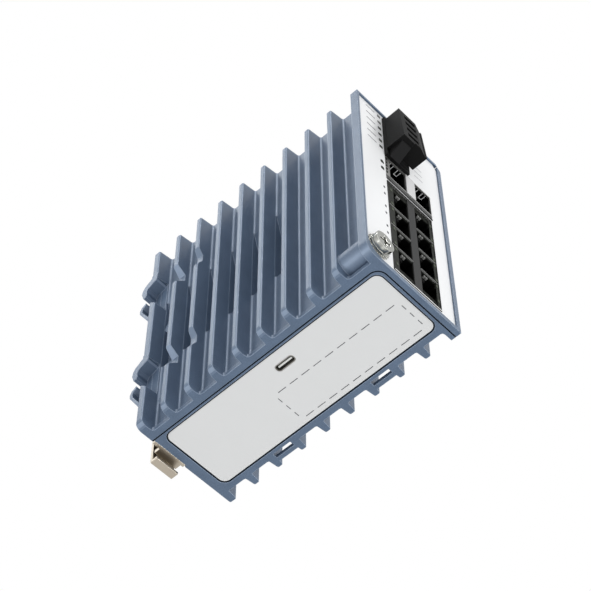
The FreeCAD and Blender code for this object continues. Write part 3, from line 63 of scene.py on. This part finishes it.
# Sums of the two noises at which a finish is darkest and lightest.
DARKEST, LIGHTEST = 0.7, 1.3
# Agreement of a sharp edge's rounded normal with its own where the painted edge highlight
# starts and is full.
SHARP_START, SHARP_FULL = 0.99, 0.78
# Largest part of a normal along an axis where a rounded edge's painted highlight starts and is
# full, and how much of that highlight colour it then has.
ROUND_START, ROUND_FULL, ROUND_SHARE = 0.985, 0.75, 0.5


def placed(points):
    """Points of the case's own frame, in millimetres, as metres in the frame of the part."""
    return (np.asarray(points, float) - (0, SEAT, RAIL_HEIGHT)) * MM


def linear(text):
    """sRGB hex to linear colour with alpha one."""
    values = [int(text[i:i + 2], 16) / 255 for i in (1, 3, 5)]
    colour = [v / 12.92 if v <= 0.04045 else ((v + 0.055) / 1.055) ** 2.4 for v in values]
    return (*colour, 1.0)


def add(tree, kind, inputs=None, **settings):
    """Add a node, set its properties, and set or link its inputs."""
    node = tree.nodes.new(kind)
    for name, value in settings.items():
        setattr(node, name, value)
    for name, value in (inputs or {}).items():
        if isinstance(value, bpy.types.NodeSocket):
            tree.links.new(value, node.inputs[name])
        else:
            node.inputs[name].default_value = value
    return node


def computed(tree, operation, *values):
    """The result of a math node."""
    return add(tree, "ShaderNodeMath", dict(enumerate(values)), operation=operation).outputs[0]


def ranged(tree, value, start, end, low=0.0, high=1.0):
    """A value's way from start to end, as a value from low to high."""
    node = add(tree, "ShaderNodeMapRange", {"Value": value, "From Min": start, "From Max": end,
                                            "To Min": low, "To Max": high})
    return node.outputs["Result"]


def blended(tree, factor, first, second):
    """One colour going over into another by a factor."""
    mix = add(tree, "ShaderNodeMix", {"Factor": factor, MIX_FIRST: first, MIX_SECOND: second},
              data_type="RGBA")
    return mix.outputs[MIX_RESULT]


def new_material(name):
    """An empty node material with its node tree and its shader."""
    material = bpy.data.materials.new(name)
    material.use_nodes = True
    tree = material.node_tree
    tree.nodes.clear()
    shader = add(tree, "ShaderNodeBsdfPrincipled")
    output = add(tree, "ShaderNodeOutputMaterial")
    tree.links.new(shader.outputs["BSDF"], output.inputs["Surface"])
    return material, tree, shader


def painted_edge_highlight(tree, tint, rounded, facing, edge):
    """A tint that goes over into the edge colour, a painted highlight, on sharp edges, and by half
    on rounded ones.

    An edge is sharp where the rounded normal turns away from the surface's own, measured by their
    dot product. It is rounded where the object's normal has no large part along any axis.
    """
    own = add(tree, "ShaderNodeNewGeometry").outputs["Normal"]
    turn = add(tree, "ShaderNodeVectorMath", {0: rounded, 1: own}, operation="DOT_PRODUCT")
    sharp = ranged(tree, turn.outputs["Value"], SHARP_START, SHARP_FULL)
    tint = blended(tree, sharp, tint, linear(edge))
    axes = add(tree, "ShaderNodeSeparateXYZ", {"Vector": facing})
    sizes = [computed(tree, "ABSOLUTE", axes.outputs[axis]) for axis in "XYZ"]
    most = computed(tree, "MAXIMUM", computed(tree, "MAXIMUM", sizes[0], sizes[1]), sizes[2])
    soft = ranged(tree, most, ROUND_START, ROUND_FULL, high=ROUND_SHARE)
    return blended(tree, soft, tint, linear(edge))


def finish_of(name, colour, roughness, metallic=0.0, grain_mm=0.5, grain_depth=0.0, shade=0.05,
              rough_shade=0.05, specular=0.5, edge=None, edge_mm=0.4, sheen=None, painted_shade_inside=None,
              painted_shade_from=0.0):
    """A finish whose colour and roughness vary a little, with an optional grain.

    grain_mm and grain_depth are the grain's size and depth in millimetres. shade and rough_shade
    say how far colour and roughness vary. edge is the colour of edges, a painted highlight, and
    edge_mm the radius at which sharp ones are rounded. sheen tints the gloss. inner is the colour
    of a painted shade that the finish takes deeper than painted_shade_from millimetres behind the
    front rim.
    """
    material, tree, shader = new_material(name)
    coordinates = add(tree, "ShaderNodeTexCoord")
    place = coordinates.outputs["Object"]
    broad, fine = [
        add(tree, "ShaderNodeTexNoise", {"Vector": place, "Scale": 1 / (size * MM),
                                         "Detail": detail}).outputs["Fac"]
        for size, detail in ((MOTTLE_MM, 3.0), (grain_mm, 2.0))]
    level = ranged(tree, computed(tree, "ADD", broad, fine), DARKEST, LIGHTEST)
    base = linear(colour)[:3]
    dark = (*(c * (1 - shade) for c in base), 1.0)
    light = (*(min(1.0, c * (1 + shade)) for c in base), 1.0)
    tint = blended(tree, level, dark, light)
    # Painted shade: deeper than a set distance behind the front rim the colour goes over into a
    # dark one.
    if painted_shade_inside:
        axes = add(tree, "ShaderNodeSeparateXYZ", {"Vector": place})
        start = (painted_shade_from - SEAT) * MM
        depth = ranged(tree, axes.outputs["Y"], start, start + FADE_MM * MM)
        tint = blended(tree, depth, tint, linear(painted_shade_inside))
    normal = None
    # The bevel rounds the shading of edges, and their lighter colour is a painted highlight.
    if edge:
        bevel = add(tree, "ShaderNodeBevel", {"Radius": edge_mm * MM}, samples=4)
        normal = bevel.outputs["Normal"]
        tint = painted_edge_highlight(tree, tint, normal, coordinates.outputs["Normal"], edge)
    tree.links.new(tint, shader.inputs["Base Color"])
    rough = ranged(tree, fine, 0.0, 1.0, max(0.02, roughness - rough_shade),
                   min(1.0, roughness + rough_shade))
    tree.links.new(rough, shader.inputs["Roughness"])
    shader.inputs["Metallic"].default_value = metallic
    if not metallic:
        shader.inputs["Specular IOR Level"].default_value = specular
    if sheen:
        shader.inputs["Specular Tint"].default_value = linear(sheen)
    if grain_depth:
        bump = add(tree, "ShaderNodeBump", {"Height": fine, "Strength": 1.0,
                                            "Distance": grain_depth * MM})
        if normal:
            tree.links.new(normal, bump.inputs["Normal"])
        normal = bump.outputs["Normal"]
    if normal:
        tree.links.new(normal, shader.inputs["Normal"])
    return material


FINISHES = {
    # Powder coat on the casting: blue-grey, half gloss, a fine grain, and a painted highlight on
    # edges.
    "paint": finish_of("grained_powder_coat", "#5E6E83", 0.34, grain_mm=0.55, grain_depth=0.13,
                       shade=0.13, edge="#B4C3D8", edge_mm=0.45, sheen="#C4D8F4"),
    # Seal between the case halves: matt black rubber.
    "seal": finish_of("black_rubber", "#101010", 0.7, specular=0.2),
    # Satin white film of the front.
    "print": finish_of("white_front_film", "#F7F7F7", 0.35, grain_mm=0.6, shade=0.008,
                       specular=0.3),
    # Pale grey film of the underside plate, duller than the front's.
    "pale": finish_of("satin_grey_film", "#E6E6E5", 0.5, grain_mm=0.4, shade=0.008, specular=0.2),
    # Folded bracket and latch: dull nickel with a painted highlight on its edges.
    "nickel": finish_of("nickel_plated_steel", "#AFA698", 0.34, metallic=1.0, grain_mm=0.3,
                        grain_depth=0.004, edge="#CFC8BC", edge_mm=0.3),
    # Zinc plating: glossy and a little uneven, with a painted highlight on its edges.
    "zinc": finish_of("zinc_plated_steel", "#979893", 0.16, metallic=1.0, grain_mm=0.3,
                      grain_depth=0.004, edge="#D8D8D2", edge_mm=0.3),
    # Tinned sheet of the shields, with painted shade: nearly black from 3 mm behind the front rim.
    "shield": finish_of("tinned_steel_sheet", "#B4B4B2", 0.35, metallic=1.0, grain_mm=0.4,
                        grain_depth=0.003, painted_shade_inside="#141414", painted_shade_from=3.0),
    # Matt black moulding of the plug, its header and the optical sockets, with a painted highlight
    # on its edges.
    "black": finish_of("black_moulding", "#181818", 0.6, grain_mm=0.25, grain_depth=0.006,
                       shade=0.08, specular=0.08, edge="#303031", edge_mm=0.25),
    # Dark grey moulding of the spine between the jack's columns.
    "bar": finish_of("dark_grey_moulding", "#3C3C3C", 0.6, grain_mm=0.25, shade=0.04, specular=0.1),
    # Gold plating and tin plating of contacts and pins.
    "contact": finish_of("gold_plated_contact", "#8A6E34", 0.35, metallic=1.0, shade=0.02),
    "pin": finish_of("tinned_pin", "#C4C4C0", 0.3, metallic=1.0, shade=0.02),
    # Smoked light pipes, dark while unlit.
    "light": finish_of("smoked_light_pipe", "#2F332B", 0.3, shade=0.1, specular=0.3),
    # Boards, the moulded parts on them, the thermal pad and drawn cans.
    "board": finish_of("green_solder_mask", "#1C5A35", 0.4, shade=0.08),
    "chip": finish_of("black_chip_moulding", "#1D1D1D", 0.55, shade=0.08),
    "pad": finish_of("grey_thermal_pad", "#8E99A8", 0.7, shade=0.05),
    "can": finish_of("drawn_aluminium_can", "#C9CACC", 0.3, metallic=1.0, shade=0.03),
}
# The finishes below are used by some nodes in place of their slot's, and by the added pieces.
# Jack moulding: mottled dark grey, with painted shade: black within the openings.
JACK = finish_of("mottled_jack_moulding", "#20211E", 0.6, grain_mm=1.4, shade=0.5, specular=0.03,
                 painted_shade_inside="#060606", painted_shade_from=1.2)
# Gasket of the cages, dull and dark, also used as painted shade in the gaps round the jack,
# and the worn crests of its ridges.
GASKET_AND_GAP_SHADE = finish_of("dull_gasket_metal_and_gap_shade", "#343434", 0.6, grain_mm=0.8, shade=0.3, specular=0.1)
RIDGE = finish_of("worn_gasket_ridge", "#6A6A69", 0.5, grain_mm=0.9, shade=0.25, specular=0.1)
# Bright front of the cage, with painted shade: black from 1 mm behind the front rim.
CAGE = finish_of("tinned_cage_sheet", "#B4B4B2", 0.4, metallic=1.0, grain_mm=0.4, painted_shade_inside="#080808",
                 painted_shade_from=1.0)
# Tin of the tabs in the ceilings of the optical ports, pure white as a painted highlight.
TAB_WHITE_HIGHLIGHT = finish_of("tin_tab_painted_highlight", "#FFFFFF", 0.5, shade=0.01, specular=0.2)
# Pale tinned strip between the two optical ports, with a painted highlight on its edges.
PALE_TIN = finish_of("pale_tinned_strip", "#CFCFCF", 0.55, metallic=0.6, shade=0.02,
                     edge="#F2F2F2", edge_mm=0.3)
# Bent tabs of the jack's shield.
TAB = finish_of("bright_bent_tab", "#8A8A88", 0.4, shade=0.1, specular=0.3)
# Inner fittings of the jack, a little paler than the dark around them.
FITTING = finish_of("grey_inner_fitting", "#1A1A1A", 0.6, shade=0.2, specular=0.05)
# Worn sheet edges between the jack rows.
SHEET_EDGE = finish_of("worn_sheet_edge", "#868684", 0.5, shade=0.15, specular=0.1)
# Pale moulding of the service port's tongue.
TONGUE = finish_of("pale_port_tongue", "#F2F2EE", 0.5, shade=0.02, specular=0.2)
# Plated shell of the service port.
PORT_SHELL = finish_of("plated_port_shell", "#8F8D88", 0.4, metallic=1.0, grain_mm=0.3)
# Smoked strips over the port lights, with paler spots, and the jack's foot line: the shield's
# edge with a painted highlight.
STRIP = finish_of("smoked_light_strip", "#20221E", 0.45, grain_mm=1.0, shade=0.5, specular=0.06)
SPOT_GLASS = finish_of("greenish_light_spot", "#3E4436", 0.4, grain_mm=0.6, shade=0.4, specular=0.1)
FOOT_LINE_HIGHLIGHT = finish_of("shield_line_painted_highlight", "#F4F4F2", 0.4, shade=0.02, specular=0.4)
# Glossy pressed edge of the underside plate's film.
BEAD = finish_of("pressed_film_edge", "#E6E6E5", 0.2, shade=0.005, specular=0.6)
# Matt inks.
INK = {
    "grey": finish_of("grey_print", "#8A8A8C", 0.6, shade=0.03, specular=0.1),
    "dark": finish_of("dark_print", "#5A5B5E", 0.6, shade=0.03, specular=0.1),
    "faint": finish_of("faint_print", "#BDBDBF", 0.6, shade=0.03, specular=0.1),
}
# Unlit black gaps.
DARK = finish_of("black_gap", "#080808", 0.8, specular=0.05)
# Blue-black fill: a painted shadow in the joint line, and a black strip round the underside plate.
BLUE_BLACK_FILL = finish_of("blue_black_fill", "#111A24", 0.7, shade=0.1, specular=0.1)

OTHER_FINISHES = {
    "cage_fingers": GASKET_AND_GAP_SHADE,
    "cage_bar": PALE_TIN,
    "optical_cage": CAGE,
    "usb_tongue": TONGUE,
    "usb_shell": PORT_SHELL,
    "cover_screws": FINISHES["paint"],
    **{f"jack_block_{row}": JACK for row in (1, 2, 3, 4)},
}
SLOT_OF = {part["node"]: part["material_slot"] for part in frame["record"]["subparts"]}
for name, item in frame["nodes"].items():
    item.data.materials.clear()
    item.data.materials.append(OTHER_FINISHES.get(name, FINISHES[SLOT_OF[name]]))


def piece(name, points, faces, material):
    """A mesh object from points in the case's own frame, riding on the case."""
    mesh = bpy.data.meshes.new(name)
    mesh.from_pydata(placed(points).reshape(-1, 3).tolist(), [], faces)
    mesh.validate()
    mesh.materials.append(material)
    item = bpy.data.objects.new(name, mesh)
    bpy.context.scene.collection.objects.link(item)
    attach(item, "case")


def cut_box_faces():
    """Faces of a box with its edges cut off.

    The bits of a corner's number say on which side of each axis it lies. Point 3 corner + a is the
    corner drawn in along both axes other than a. Each side of the box has one face, each edge one
    along it and each corner a triangle.
    """
    faces = []
    for a in range(3):
        b, c = (a + 1) % 3, (a + 2) % 3
        for s in (0, 1):
            ring = [(s << a) | (p << b) | (q << c) for p, q in ((0, 0), (1, 0), (1, 1), (0, 1))]
            faces.append([3 * corner + a for corner in (ring if s else ring[::-1])])
            for t in (0, 1):
                low = (s << a) | (t << b)
                high = low | (1 << c)
                edge = [3 * low + a, 3 * low + b, 3 * high + b, 3 * high + a]
                faces.append(edge if s == t else edge[::-1])
    for corner in range(8):
        triangle = [3 * corner, 3 * corner + 1, 3 * corner + 2]
        odd = corner.bit_count() % 2
        faces.append(triangle if odd else triangle[::-1])
    return faces


def slabs(name, boxes, cut, material):
    """Like slabs as one piece, each a box with its edges cut off.

    Point (corner, a) of a box is its middle plus the corner's signs times half its size, with the
    cut taken off along the two axes other than a.
    """
    boxes = np.asarray(boxes, float)
    middle = (boxes[:, :3] + boxes[:, 3:]) / 2
    half = np.abs(boxes[:, 3:] - boxes[:, :3]) / 2
    corner = np.arange(8)
    signs = np.stack([(corner >> axis & 1) * 2 - 1 for axis in range(3)], axis=1)
    drawn = half[:, None, :] - cut * (1 - np.eye(3))[None]
    points = middle[:, None, None, :] + signs[None, :, None, :] * drawn[:, None, :, :]
    base = cut_box_faces()
    faces = [[3 * len(corner) * number + index for index in face]
             for number in range(len(boxes)) for face in base]
    piece(name, points, faces, material)


def box(across, deep, up):
    """A box for slabs, from its spans to the right, backwards and upwards."""
    return (across[0], deep[0], up[0], across[1], deep[1], up[1])


def about(middle, half):
    """The span that reaches half a size to both sides of its middle."""
    return (middle - half, middle + half)


def carried(name, path, inward, profile, material, closed=True):
    """A closed profile carried along a path in a level plane, with end faces on an open path.

    Point (i, j) is path point i plus the inward way there times the profile's first length, lifted
    by the profile's second length.
    """
    points = path[:, None, :] + inward[:, None, :] * profile[None, :, :1]
    points = points + profile[None, :, 1:] * np.array([0, 0, 1.0])
    rows, sides = points.shape[:2]
    i, j = np.meshgrid(np.arange(rows if closed else rows - 1), np.arange(sides), indexing="ij")
    after_i, after_j = (i + 1) % rows, (j + 1) % sides
    faces = np.stack([i * sides + j, after_i * sides + j, after_i * sides + after_j,
                      i * sides + after_j], axis=-1).reshape(-1, 4).tolist()
    if not closed:
        last = (rows - 1) * sides
        faces += [list(range(sides))[::-1], list(range(last, last + sides))]
    piece(name, points, faces, material)


def rounded_rectangle(left, front, right, back, radius, level, steps=10):
    """Points round a rectangle with rounded corners in a level plane, and the ways inwards.

    Each corner is a quarter circle: its middle plus the radius times the cosine and the sine of
    the angle. The way inwards is the circle's own, reversed.
    """
    angle = np.concatenate([np.linspace(90 * q, 90 * q + 90, steps) for q in range(4)])
    angle = np.radians(angle)
    sides = [right - radius, left + radius, left + radius, right - radius]
    ends = [back - radius, back - radius, front + radius, front + radius]
    way = np.stack([np.cos(angle), np.sin(angle), 0 * angle], axis=1)
    middle = np.stack([np.repeat(sides, steps), np.repeat(ends, steps), 0 * angle + level], axis=1)
    return middle + radius * way, -way


# Sizes of the part in the case's own frame, in millimetres: the underside plate's outline (left,
# front, right, back), its corners' radius and its film's level, then the front film's depth.
PLATE = (-15.0, 4.6, 17.65, 114.1)
PLATE_ROUND = 3.2
PLATE_LEVEL = 0.5
FILM = 0.8
# Left ends of the jack's two columns, middles of its rows, and how far an opening reaches up.
JACK_STARTS = (-5.9, 6.6)
JACK_ROWS = [15.1 + 14.0 * row for row in range(4)]
JACK_TOP = 5.9
# Left ends of the optical ports and the level of their ceilings.
PORTS = (-7.6, 7.4)
PORT_TOP = 85.4
# Levels of the status lights.
LIGHT_ROWS = [90.3 + 4.94 * row for row in range(6)]
# Width of the two gaps filled blue-black, and the section of what fills them: across and upwards.
GAP = 0.6
FILLER = np.array([(-GAP / 2, 0.0), (GAP / 2, 0.0), (GAP / 2, 0.7), (-GAP / 2, 0.7)])
# Levels of the sheet edges between the jack's rows, of its foot and its head, and how far back
# the painted shadows in the gaps round it reach.
ROW_EDGES = (22.1, 36.1, 50.1)
JACK_FOOT, JACK_HEAD = 4.5, 66.2
GAP_BACK = 0.82
# Lowest and highest ends of the light strips.
STRIPS_LOW, STRIPS_HIGH = 4.9, 65.9
# Print stands out of its film by the first length and reaches into it by the second.
PROUD, SUNK = 0.03, 0.02
PRINT_CUT = 0.005


def plate_edge():
    """The underside plate's pressed edge, half round, and the black strip that fills its gap."""
    half_width, height, rooted = 0.3, 0.22, 0.05
    turn = np.linspace(0, np.pi, 7)
    arc = np.stack([half_width - half_width * np.cos(turn), -height * np.sin(turn)], axis=1)
    profile = np.concatenate([arc, [[2 * half_width, rooted], [0, rooted]]])
    path, inward = rounded_rectangle(*PLATE, PLATE_ROUND, PLATE_LEVEL)
    carried("plate_edge_bead", path, inward, profile, BEAD)

    half_gap, level = GAP / 2, 0.3
    left, front, right, back = PLATE
    path, inward = rounded_rectangle(left - half_gap, front - half_gap, right + half_gap,
                                     back + half_gap, PLATE_ROUND + half_gap, level)
    carried("plate_gap_black_strip", path, inward, FILLER, BLUE_BLACK_FILL)


def joint_line():
    """A painted shadow in the case's joint line: a dark strip forward on the left, round a bend and
    off to the right.
    """
    bend_x, bend_y, radius = -12.45, 6.8, 4.22
    back, right, level = 118.9, 25.8, -0.02
    angle = np.radians(np.linspace(180, 270, 9))
    way = np.stack([np.cos(angle), np.sin(angle)], axis=1)
    path = np.concatenate([[(bend_x - radius, back)], (bend_x, bend_y) + radius * way,
                           [(right, bend_y - radius)]])
    path = np.concatenate([path, np.full((len(path), 1), level)], axis=1)
    inward = np.concatenate([[(1.0, 0.0)], -way, [(0.0, 1.0)]])
    inward = np.concatenate([inward, np.zeros((len(inward), 1))], axis=1)
    carried("joint_line_shadow", path, inward, FILLER, BLUE_BLACK_FILL, closed=False)


def printed_frame():
    """The dashed frame on the underside plate."""
    left, front, right, back = -0.2, 7.8, 15.15, 70.0
    half_width, long_dash, short_dash = 0.16, 4.0, 2.4
    long_starts = 9.8 + 6.03 * np.arange(10)
    short_starts = 1.8 + 4.5 * np.arange(3)
    up = (PLATE_LEVEL - PROUD, PLATE_LEVEL + SUNK)
    boxes = [box(about(x, half_width), (y, y + long_dash), up)
             for x in (left, right) for y in long_starts]
    boxes += [box((x, x + short_dash), about(y, half_width), up)
              for y in (front, back) for x in short_starts]
    slabs("printed_dashes", boxes, PRINT_CUT, INK["dark"])


def front_marks():
    """Grey bars beside the status lights, small marks beside the jack rows, faint lines."""
    deep = (FILM - PROUD, FILM + SUNK)
    bar_across, bar_half = (-19.8, -14.6), 0.28
    bars = [box(bar_across, deep, about(up, bar_half)) for up in LIGHT_ROWS]
    slabs("status_bars", bars, PRINT_CUT, INK["grey"])
    mark_across, mark_half, mark_lift = (-12.3, -11.4), 0.7, 2.4
    marks = [box(mark_across, deep, about(middle + lift, mark_half))
             for middle in JACK_ROWS for lift in (-mark_lift, mark_lift)]
    port_mark_across, port_mark_half, port_mark_levels = (-12.4, -11.3), 0.5, (74.5, 79.5)
    marks += [box(port_mark_across, deep, about(up, port_mark_half)) for up in port_mark_levels]
    slabs("row_marks", marks, PRINT_CUT, INK["dark"])
    line_across, line_half, line_levels = (8.5, 13.5), 0.2, (93.0, 97.0, 101.0)
    lines = [box(line_across, deep, about(up, line_half)) for up in line_levels]
    slabs("faint_lines", lines, PRINT_CUT, INK["faint"])


def jack_sheets():
    """Sheet edges between the jack's rows, bent tabs at its openings, fittings below the tabs."""
    columns, sheet_deep, sheet_half = ((-6.6, 1.75), (6.15, 14.6)), (0.55, 1.25), 0.15
    sheets = [box(across, sheet_deep, about(up, sheet_half))
              for up in ROW_EDGES for across in columns]
    slabs("row_sheet_edges", sheets, 0.08, SHEET_EDGE)
    # Starts are measured from an opening's left end, and drops from its top.
    tab_starts, tab_width, tab_deep, tab_drop, tab_rooted = (1.9, 3.05), 0.9, (1.3, 2.4), 0.75, 0.1
    fitting_start, fitting_width, fitting_deep, fitting_drops = 1.6, 2.0, (2.4, 5.0), (2.2, 0.6)
    tabs = []
    fittings = []
    for middle in JACK_ROWS:
        top = middle + JACK_TOP
        for start in JACK_STARTS:
            tabs += [box((start + left, start + left + tab_width), tab_deep,
                         (top - tab_drop, top + tab_rooted)) for left in tab_starts]
            left = start + fitting_start
            fittings.append(box((left, left + fitting_width), fitting_deep,
                                (top - fitting_drops[0], top - fitting_drops[1])))
    slabs("jack_tabs", tabs, 0.12, TAB)
    slabs("jack_fittings", fittings, 0.3, FITTING)


def jack_front():
    """Light strips beside the jack's columns and their spots, painted shadows in the gaps round it,
    and its foot line with a painted highlight.
    """
    strips_across, strip_deep, margin = ((-9.65, -6.5), (14.65, 16.05)), (0.8, 1.18), 0.35
    ends = [STRIPS_LOW, *ROW_EDGES, STRIPS_HIGH]
    strips = [box(across, strip_deep, (low + margin, high - margin))
              for low, high in zip(ends[:-1], ends[1:]) for across in strips_across]
    slabs("jack_light_strips", strips, 0.1, STRIP)
    spot_starts, spot_width, spot_deep = (-8.4, 14.75), 1.2, (0.72, 0.85)
    spot_half, spot_lift = 1.0, 4.9
    spots = [box((left, left + spot_width), spot_deep, about(middle + lift, spot_half))
             for middle in JACK_ROWS for left in spot_starts for lift in (-spot_lift, spot_lift)]
    slabs("jack_light_spots", spots, 0.15, SPOT_GLASS)
    level_deep, upright_deep = (0.5, GAP_BACK), (0.55, GAP_BACK)
    # Painted shade: dark slabs in the gaps round the jack.
    gaps = [
        box((-9.9, 16.3), level_deep, (JACK_HEAD, 66.85)),
        box((-9.9, 16.3), upright_deep, (4.3, 4.6)),
        box((-9.95, -9.7), upright_deep, (JACK_FOOT, JACK_HEAD)),
        box((16.1, 16.35), upright_deep, (JACK_FOOT, JACK_HEAD)),
        box((-9.9, 17.2), level_deep, (68.15, 68.8)),
    ]
    slabs("jack_edge_gap_shadows", gaps, 0.03, GASKET_AND_GAP_SHADE)
    # Painted highlight: a near-white line on the shield's foot.
    foot = box((-9.6, 16.1), (0.45, 0.85), (JACK_FOOT, 5.0))
    slabs("jack_foot_line", [foot], 0.05, FOOT_LINE_HIGHLIGHT)


def cage_details():
    """Tabs pressed out of the ports' ceilings, white as a painted highlight, painted shadows in the
    gaps of the side fingers, gasket ridges.
    """
    # Each tab shows as a frame: two wires going back and a bar across their ends.
    tab_spans, wire, tab_up = ((1.6, 3.7), (6.0, 8.0)), 0.3, (PORT_TOP - 0.12, PORT_TOP + 0.02)
    tab_front, tab_bend, tab_back = 1.45, 3.65, 3.95
    boxes = []
    for start in PORTS:
        for left, right in tab_spans:
            boxes += [box((x, x + wire), (tab_front, tab_bend), tab_up)
                      for x in (start + left, start + right - wire)]
            boxes.append(box((start + left, start + right), (tab_bend, tab_back), tab_up))
    # Painted highlight: the tabs are pure white.
    slabs("ceiling_tabs", boxes, 0.03, TAB_WHITE_HIGHLIGHT)
    # Painted shade: black slabs in the gaps between the side fingers.
    gap_across, gap_deep, gap_low, gap_high = (-9.8, -8.9), (0.64, 0.72), 73.0, 74.5
    rises = [2.45 * step for step in range(5)]
    gaps = [box(gap_across, gap_deep, (gap_low + rise, gap_high + rise)) for rise in rises]
    slabs("side_finger_gap_shadows", gaps, 0.01, DARK)
    ridge_across, ridge_deep, ridge_half = (-9.8, 17.1), (0.75, 1.2), 0.28
    ridges = [box(ridge_across, ridge_deep, about(up, ridge_half)) for up in (69.3, 70.3, 71.4)]
    slabs("gasket_ridges", ridges, 0.12, RIDGE)


plate_edge()
joint_line()
printed_frame()
front_marks()
jack_sheets()
jack_front()
cage_details()


def surroundings():
    """A world that is white to the camera, glass and gloss, and softer as a light."""
    world = bpy.data.worlds.new("studio")
    bpy.context.scene.world = world
    world.use_nodes = True
    tree = world.node_tree
    tree.nodes.clear()
    rays = add(tree, "ShaderNodeLightPath")
    seen = computed(tree, "MAXIMUM", rays.outputs["Is Camera Ray"],
                    rays.outputs["Is Transmission Ray"])
    seen = computed(tree, "MAXIMUM", seen, rays.outputs["Is Glossy Ray"])
    white = add(tree, "ShaderNodeBackground", {"Color": (1, 1, 1, 1), "Strength": 1.0})
    soft = add(tree, "ShaderNodeBackground", {"Color": (0.96, 0.98, 1.0, 1), "Strength": 0.6})
    mix = add(tree, "ShaderNodeMixShader", {0: seen, 1: soft.outputs[0], 2: white.outputs[0]})
    output = add(tree, "ShaderNodeOutputWorld")
    tree.links.new(mix.outputs[0], output.inputs["Surface"])


def pale_floor():
    """A floor just below the part that only shows from above and casts nothing on it."""
    material, tree, shader = new_material("pale_floor")
    shader.inputs["Base Color"].default_value = (0.9, 0.9, 0.9, 1)
    shader.inputs["Roughness"].default_value = 0.8
    clear = add(tree, "ShaderNodeBsdfTransparent")
    side = add(tree, "ShaderNodeNewGeometry")
    blend = add(tree, "ShaderNodeMixShader", {0: side.outputs["Backfacing"], 1: shader.outputs[0],
                                              2: clear.outputs[0]})
    output = next(node for node in tree.nodes if node.type == "OUTPUT_MATERIAL")
    tree.links.new(blend.outputs[0], output.inputs["Surface"])
    half_width, clearance = 1.5, 0.0005
    level = low_before[2] - clearance
    corners = [(side_x * half_width, side_y * half_width, level)
               for side_x, side_y in ((-1, -1), (1, -1), (1, 1), (-1, 1))]
    mesh = bpy.data.meshes.new("floor")
    mesh.from_pydata(corners, [], [(0, 1, 2, 3)])
    mesh.materials.append(material)
    floor = bpy.data.objects.new("floor", mesh)
    bpy.context.scene.collection.objects.link(floor)
    floor.visible_shadow = False
    floor.visible_diffuse = False
    floor.visible_glossy = False


def area_light(name, direction, width, level, distance=1.0, colour=(1, 1, 1)):
    """A square soft light at a distance in a direction, aimed at the part's middle.

    level is how brightly it alone shows a white surface that faces it, 1 being white. The energy
    is the level times the square of pi times the distance.
    """
    data = bpy.data.lights.new(name, "AREA")
    data.shape = "SQUARE"
    data.size = width
    data.energy = level * np.pi ** 2 * distance ** 2
    data.color = colour
    item = bpy.data.objects.new(name, data)
    bpy.context.scene.collection.objects.link(item)
    middle = Vector((0, -0.06, 0))
    way = Vector(direction).normalized()
    item.location = middle + way * distance
    item.rotation_euler = way.to_track_quat("Z", "Y").to_euler()


surroundings()
pale_floor()
area_light("left", (-1.0, -0.3, 0.1), width=0.9, level=0.12)
# The fins' tips mirror this lamp towards the camera, and the walls between them don't see it.
area_light("over_tips", (-0.41, 0.39, 0.82), width=0.35, level=0.2, distance=0.6,
           colour=(0.95, 0.98, 1.0))
area_light("front", (0.3, -1.0, 0.3), width=0.9, level=0.21)
area_light("below", (0.1, -0.1, -1.0), width=0.9, level=0.2)
# Small bright lamps that the rounded edges show as thin lines.
area_light("edge_above", (-0.39, -0.41, 0.82), width=0.2, level=0.2)
area_light("edge_left", (-0.82, 0.39, -0.41), width=0.1, level=0.16)
area_light("edge_front", (0.41, -0.82, -0.39), width=0.2, level=0.15)

# The camera fitted to the photograph: its axes, its place and its focal length in pixels.
RIGHT = Vector((0.68752653, -0.72615848, -0.00106726))
DOWN = Vector((0.59779811, 0.56682815, -0.56687147))
FORWARD = Vector((0.41224348, 0.38910117, 0.82380555))
SPOT = Vector((-298.852, -222.853 - SEAT, -540.818 - RAIL_HEIGHT)) * MM
FOCAL_PIXELS = 1814.10
PHOTO_PIXELS = 591
SENSOR_MM = 36
camera_data = bpy.data.cameras.new("camera")
camera_data.sensor_width = SENSOR_MM
camera_data.lens = SENSOR_MM * FOCAL_PIXELS / PHOTO_PIXELS
camera = bpy.data.objects.new("camera", camera_data)
bpy.context.scene.collection.objects.link(camera)
turned = Matrix((RIGHT, -DOWN, -FORWARD)).transposed()
camera.matrix_world = Matrix.Translation(SPOT) @ turned.to_4x4()
bpy.context.scene.camera = camera
bpy.context.scene.view_settings.view_transform = "Standard"
